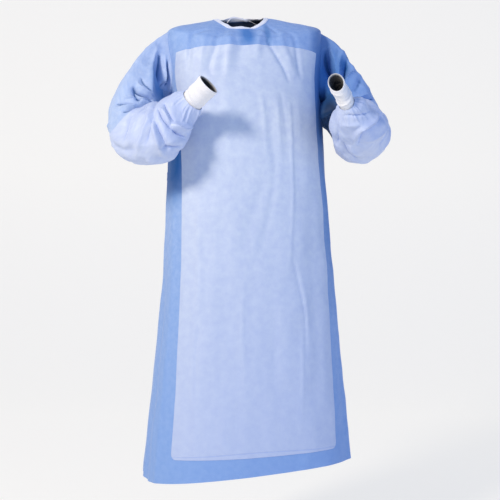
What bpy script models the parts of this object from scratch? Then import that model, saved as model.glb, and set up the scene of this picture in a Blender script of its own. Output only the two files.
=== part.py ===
"""A reinforced surgical gown, hollow and held as if worn, with both sleeves bent at the elbow.

Every panel is a cloth wall lofted through sections that are worked out from the sizes below.
Metres, +Z up. The gown faces -Y, the wearer's left is +X, and the origin is midway between the
two high points of the shoulders, where the wearer holds the gown up.
"""

import math
from collections import namedtuple

import bpy
import numpy as np

# ---------------------------------------------------------------- driving dimensions
CLOTH = 0.0012  # wall of one layer of body or sleeve cloth
REINFORCEMENT = 0.0010  # wall of the extra layer on the front
SEAM_GAP = 0.0003  # what two pieces keep between them at a seam
BACK_LAP = 0.0048  # how far the under back panel lies inside the over one
BACK_OVERLAP = math.radians(17)  # how far each back panel passes the centre back
ARMHOLE_FRONT = math.radians(14)  # widest angle that the armhole takes out of the front
ARMHOLE_BACK = math.radians(34)  # and out of each back panel
SQUARENESS = 2.35  # superellipse power of the body's sections, 2 is an ellipse

BINDING_HEIGHT = 0.0095
BINDING_OUTSIDE = 0.0009  # how far the binding stands out on each side of the cloth

CUFF_WALL = 0.0018
CUFF_INSIDE = 0.009  # the part of the cuff inside the sleeve's end
CUFF_RIBS = 26
CUFF_RIB_HEIGHT = 0.0009
CUFF_WRINKLE = 0.0016  # swell of the soft rings round the cuff
CUFF_RINGS = 7
CUFF_FIT = 0.0006  # between the cuff's ribs and the gathered sleeve end round them

TIE_WALL = 0.0010
TAB_WALL = 0.0010

# Stations up the body: hem 0, underarm 1, shoulder point 2, neckline 3.
UNDERARM, SHOULDER, NECKLINE = 1.0, 2.0, 3.0
PANEL_BOTTOM = 0.06  # where the front reinforcement starts
WAIST_LOW, WAIST_HIGH = 0.800, 0.823  # the tie's two edges

# Grid of the body: cells up and across.
ROWS_TO_WAIST = 12
ROWS_WAIST_TO_UNDERARM = 2
ROWS_ARMHOLE = 14
ROWS_SHOULDER = 4
SIDE_CELLS = 2  # from a side seam to the edge of the reinforcement
PANEL_CELLS = 12  # across the reinforcement
BACK_CELLS = 6  # from a side seam to where the back panels start to overlap
LAP_CELLS = 3  # across the overlap

PANEL_BOTTOM_ROW = 1
WAIST_ROW = PANEL_BOTTOM_ROW + ROWS_TO_WAIST
UNDERARM_ROW = WAIST_ROW + 1 + ROWS_WAIST_TO_UNDERARM
SHOULDER_ROW = UNDERARM_ROW + ROWS_ARMHOLE
PANEL_TOP_ROW = UNDERARM_ROW + 11

Section = namedtuple(
    "Section",
    "station side_z tilt front_rise back_rise half_width front back shift_x shift_y",
)
BODY_SECTIONS = [
    # tilt is the rise for each metre of +X
    #       station side_z  tilt front_rise back_rise half_width front  back  shift_x shift_y
    Section(0.00, -1.199, 0.075, 0.012, 0.006, 0.277, 0.182, 0.165, 0.019, -0.010),
    Section(0.06, -1.144, 0.030, 0.004, 0.004, 0.272, 0.180, 0.162, 0.019, -0.010),
    Section(0.25, -0.962, 0.000, 0.000, 0.000, 0.253, 0.172, 0.156, 0.022, -0.010),
    Section(0.50, -0.722, 0.000, 0.000, 0.000, 0.232, 0.160, 0.146, 0.022, -0.010),
    Section(0.75, -0.481, 0.000, 0.000, 0.000, 0.214, 0.148, 0.134, 0.016, -0.008),
    Section(0.88, -0.357, 0.000, 0.000, 0.000, 0.207, 0.140, 0.126, 0.013, -0.006),
    Section(1.00, -0.240, 0.000, 0.000, 0.000, 0.203, 0.134, 0.122, 0.013, -0.004),
    Section(1.50, -0.148, 0.015, 0.000, 0.000, 0.205, 0.124, 0.114, 0.013, 0.000),
    Section(1.86, -0.072, 0.040, -0.003, 0.004, 0.211, 0.110, 0.100, 0.014, 0.000),
    Section(2.00, -0.032, 0.048, -0.036, -0.004, 0.209, 0.103, 0.090, 0.014, 0.000),
    Section(2.50, -0.010, 0.060, -0.042, 0.008, 0.136, 0.089, 0.070, 0.008, 0.000),
    Section(3.00, 0.002, 0.090, -0.044, 0.012, 0.073, 0.078, 0.058, 0.001, 0.000),
]

# Where the reinforcement's edges run, as angles from the centre front.
Edges = namedtuple("Edges", "station right_deg left_deg")
REINFORCEMENT_EDGES = [
    Edges(0.00, -51, 46),
    Edges(0.50, -56, 53),
    Edges(0.80, -58, 57),
    Edges(1.00, -60, 57),
    Edges(1.50, -69, 56),
    Edges(1.86, -64, 56),
    Edges(3.00, -60, 56),
]

Fold = namedtuple("Fold", "name low_station low_deg high_station high_deg half_width height")
BODY_FOLDS = [
    # ridges stand out, troughs have a negative height
    Fold("neck_drag_left", 1.45, 30, 2.80, 14, 0.016, -0.007),
    Fold("neck_drag_right", 1.30, -12, 2.50, -24, 0.018, -0.004),
    Fold("front_trough_a", 0.20, 6, 1.45, 16, 0.022, -0.008),
    Fold("front_ridge_a", 0.25, 14, 1.40, 24, 0.018, 0.006),
    Fold("front_trough_b", 0.35, 24, 1.35, 34, 0.018, -0.007),
    Fold("front_ridge_b", 0.30, 33, 1.20, 42, 0.018, 0.005),
    Fold("front_trough_c", 0.10, -18, 0.90, -14, 0.026, -0.005),
    Fold("front_ridge_c", 0.05, -34, 0.80, -30, 0.030, 0.005),
    Fold("side_trough_left", 0.00, 84, 0.95, 80, 0.026, -0.010),
    Fold("side_trough_right", 0.00, -86, 0.85, -84, 0.026, -0.006),
    Fold("back_trough_left", 0.00, 128, 0.95, 138, 0.030, -0.012),
    Fold("back_trough_right", 0.00, -132, 0.95, -142, 0.030, -0.012),
    Fold("back_ridge_left", 0.00, 108, 0.90, 116, 0.030, 0.008),
    Fold("back_ridge_right", 0.00, -110, 0.90, -118, 0.030, 0.008),
    Fold("blade_drag_left", 1.05, 124, 1.85, 140, 0.020, -0.006),
    Fold("blade_drag_right", 1.05, -124, 1.85, -140, 0.020, -0.006),
]

# The sleeve's rings turn about the crook, the point inside the elbow, like a fan. The hinge is the
# fan's axis, elbow_tip is the way to its middle and start_deg and end_deg are how far it opens each
# way. A ring reaches from crook_gap to its reach, and its width is half its size along the hinge.
# slant delays each ring on its near side. cuff_side is the cuff's wider direction on the right arm
# and its narrower one on the left, and leave is the way in which the sleeve leaves the armhole.
Arm = namedtuple(
    "Arm",
    "side crook elbow_tip hinge slant start_deg end_deg crook_gap start_reach mid_reach end_reach "
    "start_width mid_width end_width wrist cuff_end cuff_side cuff_side_radius cuff_crook_radius leave",
)
RIGHT_ARM = Arm(
    side=-1,
    crook=(-0.230, -0.112, -0.244),
    elbow_tip=(-0.292, -0.047, -0.402),
    hinge=(-0.75, -0.57, 0.35),
    slant=0.15,
    start_deg=54,
    end_deg=62,
    crook_gap=0.016,
    start_reach=0.136,
    mid_reach=0.170,
    end_reach=0.168,
    start_width=0.072,
    mid_width=0.074,
    end_width=0.060,
    wrist=(-0.156, -0.190, -0.252),
    cuff_end=(-0.124, -0.240, -0.219),
    cuff_side=(-0.70, -0.05, 0.70),
    cuff_side_radius=0.0270,
    cuff_crook_radius=0.0190,
    leave=(-0.80, -0.10, -0.50),
)
LEFT_ARM = Arm(
    side=1,
    crook=(0.262, -0.117, -0.234),
    elbow_tip=(0.382, -0.050, -0.378),
    hinge=(0.84, -0.36, 0.40),
    slant=0.0,
    start_deg=46,
    end_deg=54,
    crook_gap=0.016,
    start_reach=0.144,
    mid_reach=0.172,
    end_reach=0.150,
    start_width=0.074,
    mid_width=0.080,
    end_width=0.066,
    wrist=(0.212, -0.279, -0.260),
    cuff_end=(0.174, -0.313, -0.216),
    cuff_side=(0.82, -0.37, 0.42),
    cuff_side_radius=0.0180,
    cuff_crook_radius=0.0270,
    leave=(0.78, -0.10, -0.55),
)
ARMHOLE_RINGS = 7  # rings from the armhole to the start of the elbow's fan
FAN_RINGS = 12
FOREARM_RINGS = 8
LAP_RING = ARMHOLE_RINGS + 5  # where the reinforced lower sleeve laps over the upper one
LEAVE_PULL = 0.9  # how strongly each stretch of sleeve keeps its direction at its ends
WRIST_CLOSING = 0.55  # how steeply the sleeve's end closes down to the cuff
GATHER_HEIGHT = 0.005
GATHER_RINGS = 3
CROOK_PLEAT = 0.008  # depth of the pleats that radiate from inside the elbow

SleeveFold = namedtuple("SleeveFold", "name side start_ring start_deg end_ring end_deg half_width_deg height")
SLEEVE_FOLDS = [
    # round the sleeve, 0 is under the arm, 90 inside the elbow and 180 on top
    SleeveFold("right_shoulder_trough", -1, 0.8, 158, 7.5, 112, 12, -0.006),
    SleeveFold("right_chest_trough", -1, 0.8, 122, 6.5, 96, 12, -0.005),
    SleeveFold("right_top_ridge", -1, 1.0, 196, 8.0, 150, 16, 0.005),
    SleeveFold("right_back_trough", -1, 1.0, 290, 9.0, 250, 16, -0.007),
    SleeveFold("right_elbow_trough", -1, 10.0, 212, 19.0, 186, 15, -0.006),
    SleeveFold("right_forearm_trough", -1, 14.0, 132, 23.5, 150, 14, -0.006),
    SleeveFold("right_under_trough", -1, 15.0, 300, 23.0, 320, 16, -0.006),
    SleeveFold("left_shoulder_trough", 1, 0.8, 164, 7.0, 116, 12, -0.006),
    SleeveFold("left_chest_trough", 1, 0.8, 126, 6.5, 98, 12, -0.005),
    SleeveFold("left_top_ridge", 1, 1.0, 204, 8.0, 160, 16, 0.005),
    SleeveFold("left_back_trough", 1, 1.0, 284, 9.0, 246, 16, -0.007),
    SleeveFold("left_elbow_trough", 1, 11.0, 222, 19.0, 200, 15, -0.006),
    SleeveFold("left_forearm_trough", 1, 14.0, 48, 23.5, 40, 14, -0.006),
    SleeveFold("left_under_trough", 1, 15.0, 310, 23.0, 318, 16, -0.006),
    SleeveFold("left_wrist_blouse", 1, 20.0, 4, 27.4, 12, 38, 0.015),
]


# ---------------------------------------------------------------- small helpers
def unit(vector):
    """The vector at length 1."""
    vector = np.asarray(vector, float)
    return vector / np.linalg.norm(vector)


def lengths(vectors):
    """Length of each vector of an array, kept as a last axis of 1."""
    return np.linalg.norm(vectors, axis=-1, keepdims=True)


def hermite(start, start_pull, end, end_pull, t):
    """Cubic from start to end that leaves and arrives along the two pulls."""
    return (
        (1 + 2 * t) * (1 - t) ** 2 * start
        + t * (1 - t) ** 2 * start_pull
        + t**2 * (3 - 2 * t) * end
        + t**2 * (t - 1) * end_pull
    )


def smooth(table, column, station):
    """One named column of a table, read at a station through a smooth curve that never overshoots."""
    stations = np.array([row.station for row in table])
    values = np.array([getattr(row, column) for row in table], float)
    rates = np.diff(values) / np.diff(stations)
    low, high = rates[:-1], rates[1:]
    turning = low * high <= 0
    middle = np.where(turning, 0.0, 2 * low * high / np.where(turning, 1.0, low + high))
    slopes = np.concatenate([rates[:1], middle, rates[-1:]])
    i = int(np.clip(np.searchsorted(stations, station) - 1, 0, len(stations) - 2))
    step = stations[i + 1] - stations[i]
    t = (station - stations[i]) / step
    return hermite(values[i], step * slopes[i], values[i + 1], step * slopes[i + 1], t)


def turned(vector, axis, angle):
    """The vector turned about a unit axis."""
    return (
        vector * math.cos(angle)
        + np.cross(axis, vector) * math.sin(angle)
        + axis * np.dot(axis, vector) * (1 - math.cos(angle))
    )


def grid_normals(grid, around=False):
    """Unit normal at each point of a grid, pointing away from what it curves round."""
    down = np.gradient(grid, axis=0)
    if around:
        across = (np.roll(grid, -1, axis=1) - np.roll(grid, 1, axis=1)) / 2
        away = grid - grid.mean(axis=1, keepdims=True)
    else:
        across = np.gradient(grid, axis=1)
        away = grid * np.array([1.0, 1.0, 0.0])
    normal = np.cross(across, down)
    normal /= lengths(normal)
    return normal if np.sum(normal * away) > 0 else -normal


# ---------------------------------------------------------------- the body's surface
def body_point(station, angle):
    """A point on the body's outer side. The angle is 0 at the centre front and 90 degrees at the left."""
    section = {name: smooth(BODY_SECTIONS, name, station) for name in Section._fields[1:]}
    across, along = math.sin(angle), math.cos(angle)
    power = 2 / SQUARENESS
    depth = section["front"] if along > 0 else section["back"]
    rise = section["front_rise"] if along > 0 else section["back_rise"]
    x = section["half_width"] * math.copysign(abs(across) ** power, across) + section["shift_x"]
    y = section["shift_y"] - depth * math.copysign(abs(along) ** power, along)
    return np.array([x, y, section["side_z"] + rise * abs(along) ** 1.5 + section["tilt"] * x])


def row_stations():
    """The stations of the body's rows, from hem to neckline."""
    return np.concatenate(
        [
            [0.0],
            np.linspace(PANEL_BOTTOM, WAIST_LOW, ROWS_TO_WAIST + 1),
            np.linspace(WAIST_HIGH, UNDERARM, ROWS_WAIST_TO_UNDERARM + 1),
            np.linspace(UNDERARM, SHOULDER, ROWS_ARMHOLE + 1)[1:],
            np.linspace(SHOULDER, NECKLINE, ROWS_SHOULDER + 1)[1:],
        ]
    )


def seam_angle(station, widest):
    """Angle between the side seam's line and a panel's edge, which the armhole opens."""
    t = min(max(station - UNDERARM, 0.0), 1.0)
    return widest * math.sin(math.pi * t) ** 0.75


def front_angles(station):
    """Angles of the front's columns, from the right side seam to the left one."""
    edge = math.pi / 2 - seam_angle(station, ARMHOLE_FRONT)
    right = math.radians(smooth(REINFORCEMENT_EDGES, "right_deg", station))
    left = math.radians(smooth(REINFORCEMENT_EDGES, "left_deg", station))
    return np.concatenate(
        [
            np.linspace(-edge, right, SIDE_CELLS + 1),
            np.linspace(right, left, PANEL_CELLS + 1)[1:],
            np.linspace(left, edge, SIDE_CELLS + 1)[1:],
        ]
    )


def left_back_angles(station):
    """Angles of the left back's columns, from its side seam past the centre back."""
    edge = math.pi / 2 + seam_angle(station, ARMHOLE_BACK)
    lap = math.pi - BACK_OVERLAP
    return np.concatenate(
        [
            np.linspace(edge, lap, BACK_CELLS + 1),
            np.linspace(lap, math.pi + BACK_OVERLAP, LAP_CELLS + 1)[1:],
        ]
    )


def right_back_angles(station):
    """Angles of the right back's columns, from its side seam past the centre back."""
    return -left_back_angles(station)


def fold_height(fold, station, point, side):
    """How far one fold moves the cloth in or out at a point."""
    if side * fold.low_deg < 0 and abs(fold.low_deg) > 90:
        return 0.0
    t = (station - fold.low_station) / (fold.high_station - fold.low_station)
    if not 0 <= t < 1:
        return 0.0
    angle = math.radians(fold.low_deg + (fold.high_deg - fold.low_deg) * t)
    line = body_point(station, angle)
    away = math.hypot(point[0] - line[0], point[1] - line[1]) / fold.half_width
    taper = math.sin(math.pi * t) ** 0.6 if fold.low_station > 0 else math.cos(math.pi * t / 2)
    return fold.height * math.exp(-away * away) * taper


def body_grid(angles_at, inset_from=None):
    """Outer points and normals of one body panel, a row for each station.

    Columns from inset_from on lie inside the others, where the panel passes under another one.
    """
    stations = row_stations()
    grid = np.array([[body_point(s, a) for a in angles_at(s)] for s in stations])
    normals = grid_normals(grid)
    for r, station in enumerate(stations):
        for c, angle in enumerate(angles_at(station)):
            side = math.copysign(1, angle)
            height = sum(fold_height(fold, station, grid[r, c], side) for fold in BODY_FOLDS)
            from_edge = min(c, grid.shape[1] - 1 - c)
            calm = min(1.0, from_edge / SIDE_CELLS) if station > UNDERARM else 1.0
            inset = BACK_LAP if inset_from is not None and c >= inset_from else 0.0
            grid[r, c] += normals[r, c] * (height * calm - inset)
    return grid, grid_normals(grid)


# ---------------------------------------------------------------- the sleeves' surface
def fan_ring(arm, t, columns):
    """A ring of the elbow's fan, which turns about the crook. t is 0 above the elbow and 1 below it."""
    hinge = unit(arm.hinge)
    middle = np.subtract(arm.elbow_tip, arm.crook)
    middle = unit(middle - hinge * np.dot(middle, hinge))
    ring = []
    for a in np.linspace(0, 2 * math.pi, columns, endpoint=False):
        late = t + arm.slant * math.sin(math.pi * t) * (math.sin(a) - math.cos(a))
        angle = math.radians((arm.start_deg + arm.end_deg) * late - arm.start_deg)
        out = turned(middle, hinge, -arm.side * angle)
        reach = np.interp(late, [0, 0.5, 1], [arm.start_reach, arm.mid_reach, arm.end_reach])
        width = np.interp(late, [0, 0.5, 1], [arm.start_width, arm.mid_width, arm.end_width])
        half = (reach - arm.crook_gap) / 2
        centre = arm.crook_gap + half * (1 - math.sin(a))
        ring.append(arm.crook + out * centre - hinge * width * math.cos(a))
    return np.array(ring)


def cuff_frame(arm):
    """The cuff's direction, its side direction and the one towards the inside of the elbow."""
    ahead = unit(np.subtract(arm.cuff_end, arm.wrist))
    side = np.array(arm.cuff_side, float)
    side = unit(side - ahead * np.dot(side, ahead))
    return ahead, side, np.cross(ahead, side) * arm.side


def cuff_ring(arm, centre, grow, columns):
    """An oval ring square to the cuff, at the cuff's own size grown all round."""
    _, side, crook = cuff_frame(arm)
    wide, tall = arm.cuff_side_radius + grow, arm.cuff_crook_radius + grow
    around = np.linspace(0, 2 * math.pi, columns, endpoint=False)
    return np.array([centre - wide * math.cos(a) * side + tall * math.sin(a) * crook for a in around])


def sleeve_grid(arm, armhole):
    """Outer points of a whole sleeve, a row for each ring from the armhole to the wrist."""
    columns = len(armhole)
    first, second = fan_ring(arm, 0, columns), fan_ring(arm, 0.04, columns)
    before, last = fan_ring(arm, 0.96, columns), fan_ring(arm, 1, columns)
    into_fan = unit((second - first).mean(axis=0))
    out_of_fan = unit((last - before).mean(axis=0))
    clear = CUFF_RIB_HEIGHT + CUFF_FIT - SEAM_GAP
    wrist = cuff_ring(arm, np.array(arm.wrist), clear, columns)
    reach_up = lengths(first - armhole) * LEAVE_PULL
    reach_down = lengths(wrist - last) * LEAVE_PULL
    spread = wrist - wrist.mean(axis=0)
    arrive = cuff_frame(arm)[0] - WRIST_CLOSING * spread / lengths(spread)
    rings = []
    for t in np.linspace(0, 1, ARMHOLE_RINGS + 1)[:-1]:
        rings.append(hermite(armhole, unit(arm.leave) * reach_up, first, into_fan * reach_up, t))
    for t in np.linspace(0, 1, FAN_RINGS + 1)[:-1]:
        rings.append(fan_ring(arm, t, columns))
    for t in np.linspace(0, 1, FOREARM_RINGS + 1):
        rings.append(hermite(last, out_of_fan * reach_down, wrist, arrive * reach_down, t))
    return fold_sleeve(np.array(rings), arm.side)


def sleeve_fold_height(fold, ring, degrees):
    """How far one sleeve fold moves the cloth in or out at a ring and an angle round it."""
    t = (ring - fold.start_ring) / (fold.end_ring - fold.start_ring)
    if not 0 < t < 1:
        return 0.0
    line = fold.start_deg + (fold.end_deg - fold.start_deg) * t
    away = ((degrees - line + 180) % 360 - 180) / fold.half_width_deg
    return fold.height * math.exp(-away * away) * math.sin(math.pi * t) ** 0.6


def fold_sleeve(rings, side):
    """Long folds, pleats inside the elbow and gathers at the wrist, along the cloth's own normals."""
    normals = grid_normals(rings, around=True)
    count, columns = rings.shape[:2]
    folds = [fold for fold in SLEEVE_FOLDS if fold.side == side]
    for r in range(count):
        in_fan = ARMHOLE_RINGS <= r <= ARMHOLE_RINGS + FAN_RINGS
        at_lap = r in (LAP_RING, LAP_RING + 1)
        at_wrist = max(0.0, 1 - (count - 1 - r) / GATHER_RINGS)
        for c in range(columns):
            degrees = 360 * c / columns
            to_crook = (1 + math.sin(math.radians(degrees))) / 2
            height = sum(sleeve_fold_height(fold, r, degrees) for fold in folds)
            if in_fan and not at_lap and r % 2:
                height -= CROOK_PLEAT * (0.25 + 0.75 * to_crook**2)
            if c % 2:
                height += GATHER_HEIGHT * at_wrist
            rings[r, c] += normals[r, c] * height
    return rings


# ---------------------------------------------------------------- walls and meshes
def grid_faces(rows, columns, around, offset, flip):
    """Triangles of one side of a wall. Every wall uses the same diagonals, so layers nest."""
    faces = []
    for r in range(rows - 1):
        for c in range(columns if around else columns - 1):
            a, b = offset + r * columns + c, offset + r * columns + (c + 1) % columns
            e, f = a + columns, b + columns
            pair = [(a, b, f), (a, f, e)]
            faces += [tuple(reversed(t)) for t in pair] if flip else pair
    return faces


def rim_faces(points, rows, columns, around, inner):
    """Triangles that join the two sides of a wall round its edges, split on each quad's shorter diagonal.

    Two walls that meet at a seam are then split alike, so their rims don't cross.
    """
    edges = []
    for c in range(columns if around else columns - 1):
        d = (c + 1) % columns
        edges += [(d, c), ((rows - 1) * columns + c, (rows - 1) * columns + d)]
    if not around:
        for r in range(rows - 1):
            low, high = r * columns, (r + 1) * columns
            edges += [(low, high), (high + columns - 1, low + columns - 1)]
    faces = []
    for a, b in edges:
        if np.linalg.norm(points[a] - points[b + inner]) < np.linalg.norm(points[b] - points[a + inner]):
            faces += [(a, b, b + inner), (a, b + inner, a + inner)]
        else:
            faces += [(a, b, a + inner), (b, b + inner, a + inner)]
    return faces


def signed_volume(points, faces):
    """Volume inside the triangles, negative if they face inwards."""
    corners = points[np.array(faces)]
    return np.einsum("ij,ij->i", corners[:, 0], np.cross(corners[:, 1], corners[:, 2])).sum() / 6


def make_wall(name, outer, inner, material, around=False):
    """One closed wall of cloth between two grids of points, as a named object."""
    rows, columns = outer.shape[:2]
    count = rows * columns
    points = np.concatenate([outer.reshape(-1, 3), inner.reshape(-1, 3)])
    faces = grid_faces(rows, columns, around, 0, False)
    faces += grid_faces(rows, columns, around, count, True)
    faces += rim_faces(points, rows, columns, around, count)
    if signed_volume(points, faces) < 0:
        faces = [tuple(reversed(face)) for face in faces]
    mesh = bpy.data.meshes.new(name)
    mesh.from_pydata([tuple(p) for p in points], [], faces)
    mesh.shade_smooth()
    mesh.set_sharp_from_angle(angle=math.radians(50))
    mesh.materials.append(material)
    bpy.data.collections["surgical_gown"].objects.link(bpy.data.objects.new(name, mesh))


def wall_on(name, grid, normals, wall, material):
    """A layer that lies on another piece, from that piece's own points moved out."""
    under = grid + normals * SEAM_GAP
    make_wall(name, under + normals * wall, under, material)


def draw_back(points, beside):
    """An edge's points, moved towards the ones beside them by half a seam gap."""
    step = beside - points
    return points + step / lengths(step) * SEAM_GAP / 2


def mitre(first, second):
    """Shared offset direction of two walls that meet at a seam, long enough for full thickness."""
    total = first + second
    return total / np.maximum(1 + np.sum(first * second, axis=-1, keepdims=True), 0.35)


# ---------------------------------------------------------------- the pieces
def cloth_material(name, colour, roughness):
    """A Principled material in a plain colour."""
    material = bpy.data.materials.new(name)
    material.use_nodes = True
    shader = material.node_tree.nodes["Principled BSDF"]
    shader.inputs["Base Color"].default_value = (*colour, 1.0)
    shader.inputs["Roughness"].default_value = roughness
    shader.inputs["Metallic"].default_value = 0.0
    return material


def share_seams(front, back, column):
    """Gives the front and a back panel the same points and offsets along their side and shoulder seam."""
    rows = np.r_[0 : UNDERARM_ROW + 1, SHOULDER_ROW : len(front[0])]
    shared = (front[0][rows, column] + back[0][rows, 0]) / 2
    offset = mitre(front[1][rows, column], back[1][rows, 0])
    for grid, values in ((0, shared), (1, offset)):
        front[grid][rows, column] = values
        back[grid][rows, 0] = values


def set_in_sleeve(arm, front, back, column):
    """The sleeve's outer points and offsets, started from the armhole's own points."""
    up = np.arange(UNDERARM_ROW, SHOULDER_ROW + 1)
    down = up[-2:0:-1]
    armhole = np.concatenate([front[0][up, column], back[0][down, 0]])
    body_side = np.concatenate([front[1][up, column], back[1][down, 0]])
    rings = sleeve_grid(arm, armhole)
    normals = grid_normals(rings, around=True)
    normals[0] = mitre(body_side, normals[0])
    front[1][up, column] = normals[0][: len(up)]
    back[1][down, 0] = normals[0][len(up) :]
    back[1][up[[0, -1]], 0] = normals[0][[0, len(up) - 1]]
    return rings, normals


def build_panel(name, grid, normals, seam_columns, material):
    """A body panel, drawn back from its seams."""
    outer, inner = grid.copy(), grid - normals * CLOTH
    for points in (outer, inner):
        for column, beside in seam_columns:
            points[:, column] = draw_back(points[:, column], points[:, beside])
    make_wall(name, outer, inner, material)


def build_reinforcement(front, material):
    """The extra layer welded on the front."""
    rows = slice(PANEL_BOTTOM_ROW, PANEL_TOP_ROW + 1)
    columns = slice(SIDE_CELLS, SIDE_CELLS + PANEL_CELLS + 1)
    wall_on("front_reinforcement", front[0][rows, columns], front[1][rows, columns], REINFORCEMENT, material)


def build_sleeve(word, rings, normals, blue, pale):
    """The upper sleeve, and the reinforced lower sleeve lapped over its end."""
    upper = rings[: LAP_RING + 2].copy()
    inner = upper - normals[: LAP_RING + 2] * CLOTH
    for points in (upper, inner):
        points[0] = draw_back(points[0], points[1])
    make_wall(f"{word}_sleeve", upper, inner, blue, around=True)
    under = rings[LAP_RING:] + normals[LAP_RING:] * SEAM_GAP
    make_wall(f"{word}_lower_sleeve", under + normals[LAP_RING:] * CLOTH, under, pale, around=True)


def build_cuff(name, arm, material):
    """A knitted cuff, ribbed outside and plain inside, from just inside the sleeve's end."""
    ahead = cuff_frame(arm)[0]
    length = np.linalg.norm(np.subtract(arm.cuff_end, arm.wrist))
    columns = CUFF_RIBS * 2
    ribs = CUFF_RIB_HEIGHT * (np.arange(columns) % 2)[:, None]
    outer, inner = [], []
    for ring, along in enumerate(np.linspace(-CUFF_INSIDE, length, CUFF_RINGS)):
        centre = np.add(arm.wrist, ahead * along)
        swell = CUFF_WRINKLE if ring % 2 and along > CUFF_INSIDE else 0.0
        points = cuff_ring(arm, centre, swell, columns)
        away = (points - centre) / lengths(points - centre)
        outer.append(points + away * ribs)
        inner.append(cuff_ring(arm, centre, -CUFF_WALL, columns))
    make_wall(name, np.array(outer), np.array(inner), material, around=True)


def round_the_neck(panels, row):
    """Points and offsets of a row of the whole body, from the right back's edge round to the left back's."""
    right, front, left = panels
    return [np.concatenate([right[i][row, ::-1], front[i][row, 1:], left[i][row, 1:]]) for i in (0, 1)]


def build_binding(panels, material):
    """The strip that binds the neckline, from one back edge round the front to the other."""
    edge, out = round_the_neck(panels, -1)
    below = round_the_neck(panels, -2)[0]
    up = (edge - below) / lengths(edge - below)
    low = edge + up * 2 * SEAM_GAP
    strip = np.array([low, low + up * BINDING_HEIGHT])
    inner = strip - out * (CLOTH + BINDING_OUTSIDE)
    make_wall("neck_binding", strip + out * BINDING_OUTSIDE, inner, material)


def over_the_lap(right, left, rows, right_columns, left_columns):
    """Points and offsets that run over the right back's free edge and on to the left back."""
    return [
        np.concatenate([over[rows][:, right_columns], under[rows][:, left_columns]], axis=1)
        for over, under in zip(right, left)
    ]


def build_tie(right, left, material):
    """The flat waist tie across the back, from one side to the other."""
    rows = slice(WAIST_ROW, WAIST_ROW + 2)
    grid, normals = over_the_lap(right, left, rows, slice(1, None), slice(BACK_CELLS - 1, 0, -1))
    wall_on("waist_tie", grid, normals, TIE_WALL, material)


def build_neck_tab(right, left, material):
    """The tab that closes the neck, from the over back panel on to the under one."""
    rows = slice(-3, None)
    left_columns = slice(BACK_CELLS - 1, BACK_CELLS - 2, -1)
    grid, normals = over_the_lap(right, left, rows, slice(-3, None), left_columns)
    wall_on("neck_closure_tab", grid, normals, TAB_WALL, material)


def build_gown():
    """Builds every piece of the gown."""
    blue = cloth_material("blue_cloth", (0.24, 0.40, 0.75), 0.75)
    pale = cloth_material("pale_cloth", (0.52, 0.62, 0.86), 0.7)
    white = cloth_material("white_knit", (0.85, 0.85, 0.87), 0.9)

    front = body_grid(front_angles)
    left_back = body_grid(left_back_angles, inset_from=BACK_CELLS)
    right_back = body_grid(right_back_angles)
    share_seams(front, left_back, -1)
    share_seams(front, right_back, 0)
    left_sleeve = set_in_sleeve(LEFT_ARM, front, left_back, -1)
    right_sleeve = set_in_sleeve(RIGHT_ARM, front, right_back, 0)

    build_panel("front", *front, [(0, 1), (-1, -2)], blue)
    build_panel("left_back", *left_back, [(0, 1)], blue)
    build_panel("right_back", *right_back, [(0, 1)], blue)
    build_reinforcement(front, pale)
    build_sleeve("left", *left_sleeve, blue, pale)
    build_sleeve("right", *right_sleeve, blue, pale)
    build_cuff("left_cuff", LEFT_ARM, white)
    build_cuff("right_cuff", RIGHT_ARM, white)
    build_binding([right_back, front, left_back], white)
    build_tie(right_back, left_back, blue)
    build_neck_tab(right_back, left_back, white)


def main():
    """Clears the scene and builds the gown in its own collection."""
    for obj in list(bpy.data.objects):
        bpy.data.objects.remove(obj)
    bpy.context.scene.collection.children.link(bpy.data.collections.new("surgical_gown"))
    build_gown()


main()
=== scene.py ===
"""Dresses the frame of a reinforced surgical gown in its cloth, knit and tape.

Each piece is a thin shell on the form of its own solid, with the creases that stiff non-woven takes
when the gown is worn with both elbows bent. Metres, +Z up. The gown faces -Y and the wearer's left
is +X. Body stations run from the hem at 0 over the underarm at 1 and the shoulder point at 2 to the
neckline at 3, and sleeve rings from the armhole at 0 to the wrist at 27.
"""

import logging
import math
from collections.abc import Callable, Iterable
from dataclasses import dataclass, field
from enum import Enum

import bpy
import numpy as np
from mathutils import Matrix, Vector, noise


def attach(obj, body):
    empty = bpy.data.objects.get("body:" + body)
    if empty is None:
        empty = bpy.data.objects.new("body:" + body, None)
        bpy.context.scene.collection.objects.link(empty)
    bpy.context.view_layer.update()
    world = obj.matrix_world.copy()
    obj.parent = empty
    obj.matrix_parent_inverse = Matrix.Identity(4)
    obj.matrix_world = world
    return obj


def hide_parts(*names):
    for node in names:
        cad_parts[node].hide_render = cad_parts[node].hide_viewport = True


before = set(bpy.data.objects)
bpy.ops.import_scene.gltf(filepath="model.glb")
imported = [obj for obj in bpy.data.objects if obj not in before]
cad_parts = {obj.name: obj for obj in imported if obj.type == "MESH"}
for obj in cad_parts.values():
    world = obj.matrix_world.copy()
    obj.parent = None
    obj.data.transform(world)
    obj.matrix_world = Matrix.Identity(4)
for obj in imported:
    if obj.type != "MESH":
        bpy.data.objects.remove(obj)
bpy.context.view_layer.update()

log = logging.getLogger("surgical_gown")
MM = 0.001
UNDERARM, SHOULDER, NECKLINE = 1.0, 2.0, 3.0  # stations of the body
Path = tuple[tuple[float, float], ...]
Degrees = Callable[[np.ndarray], np.ndarray]
Tree = bpy.types.NodeTree
Socket = bpy.types.NodeSocket
BOND_LINE_MM = 12.5  # how far the reinforcement's bonded line runs above its lower edge


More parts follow.
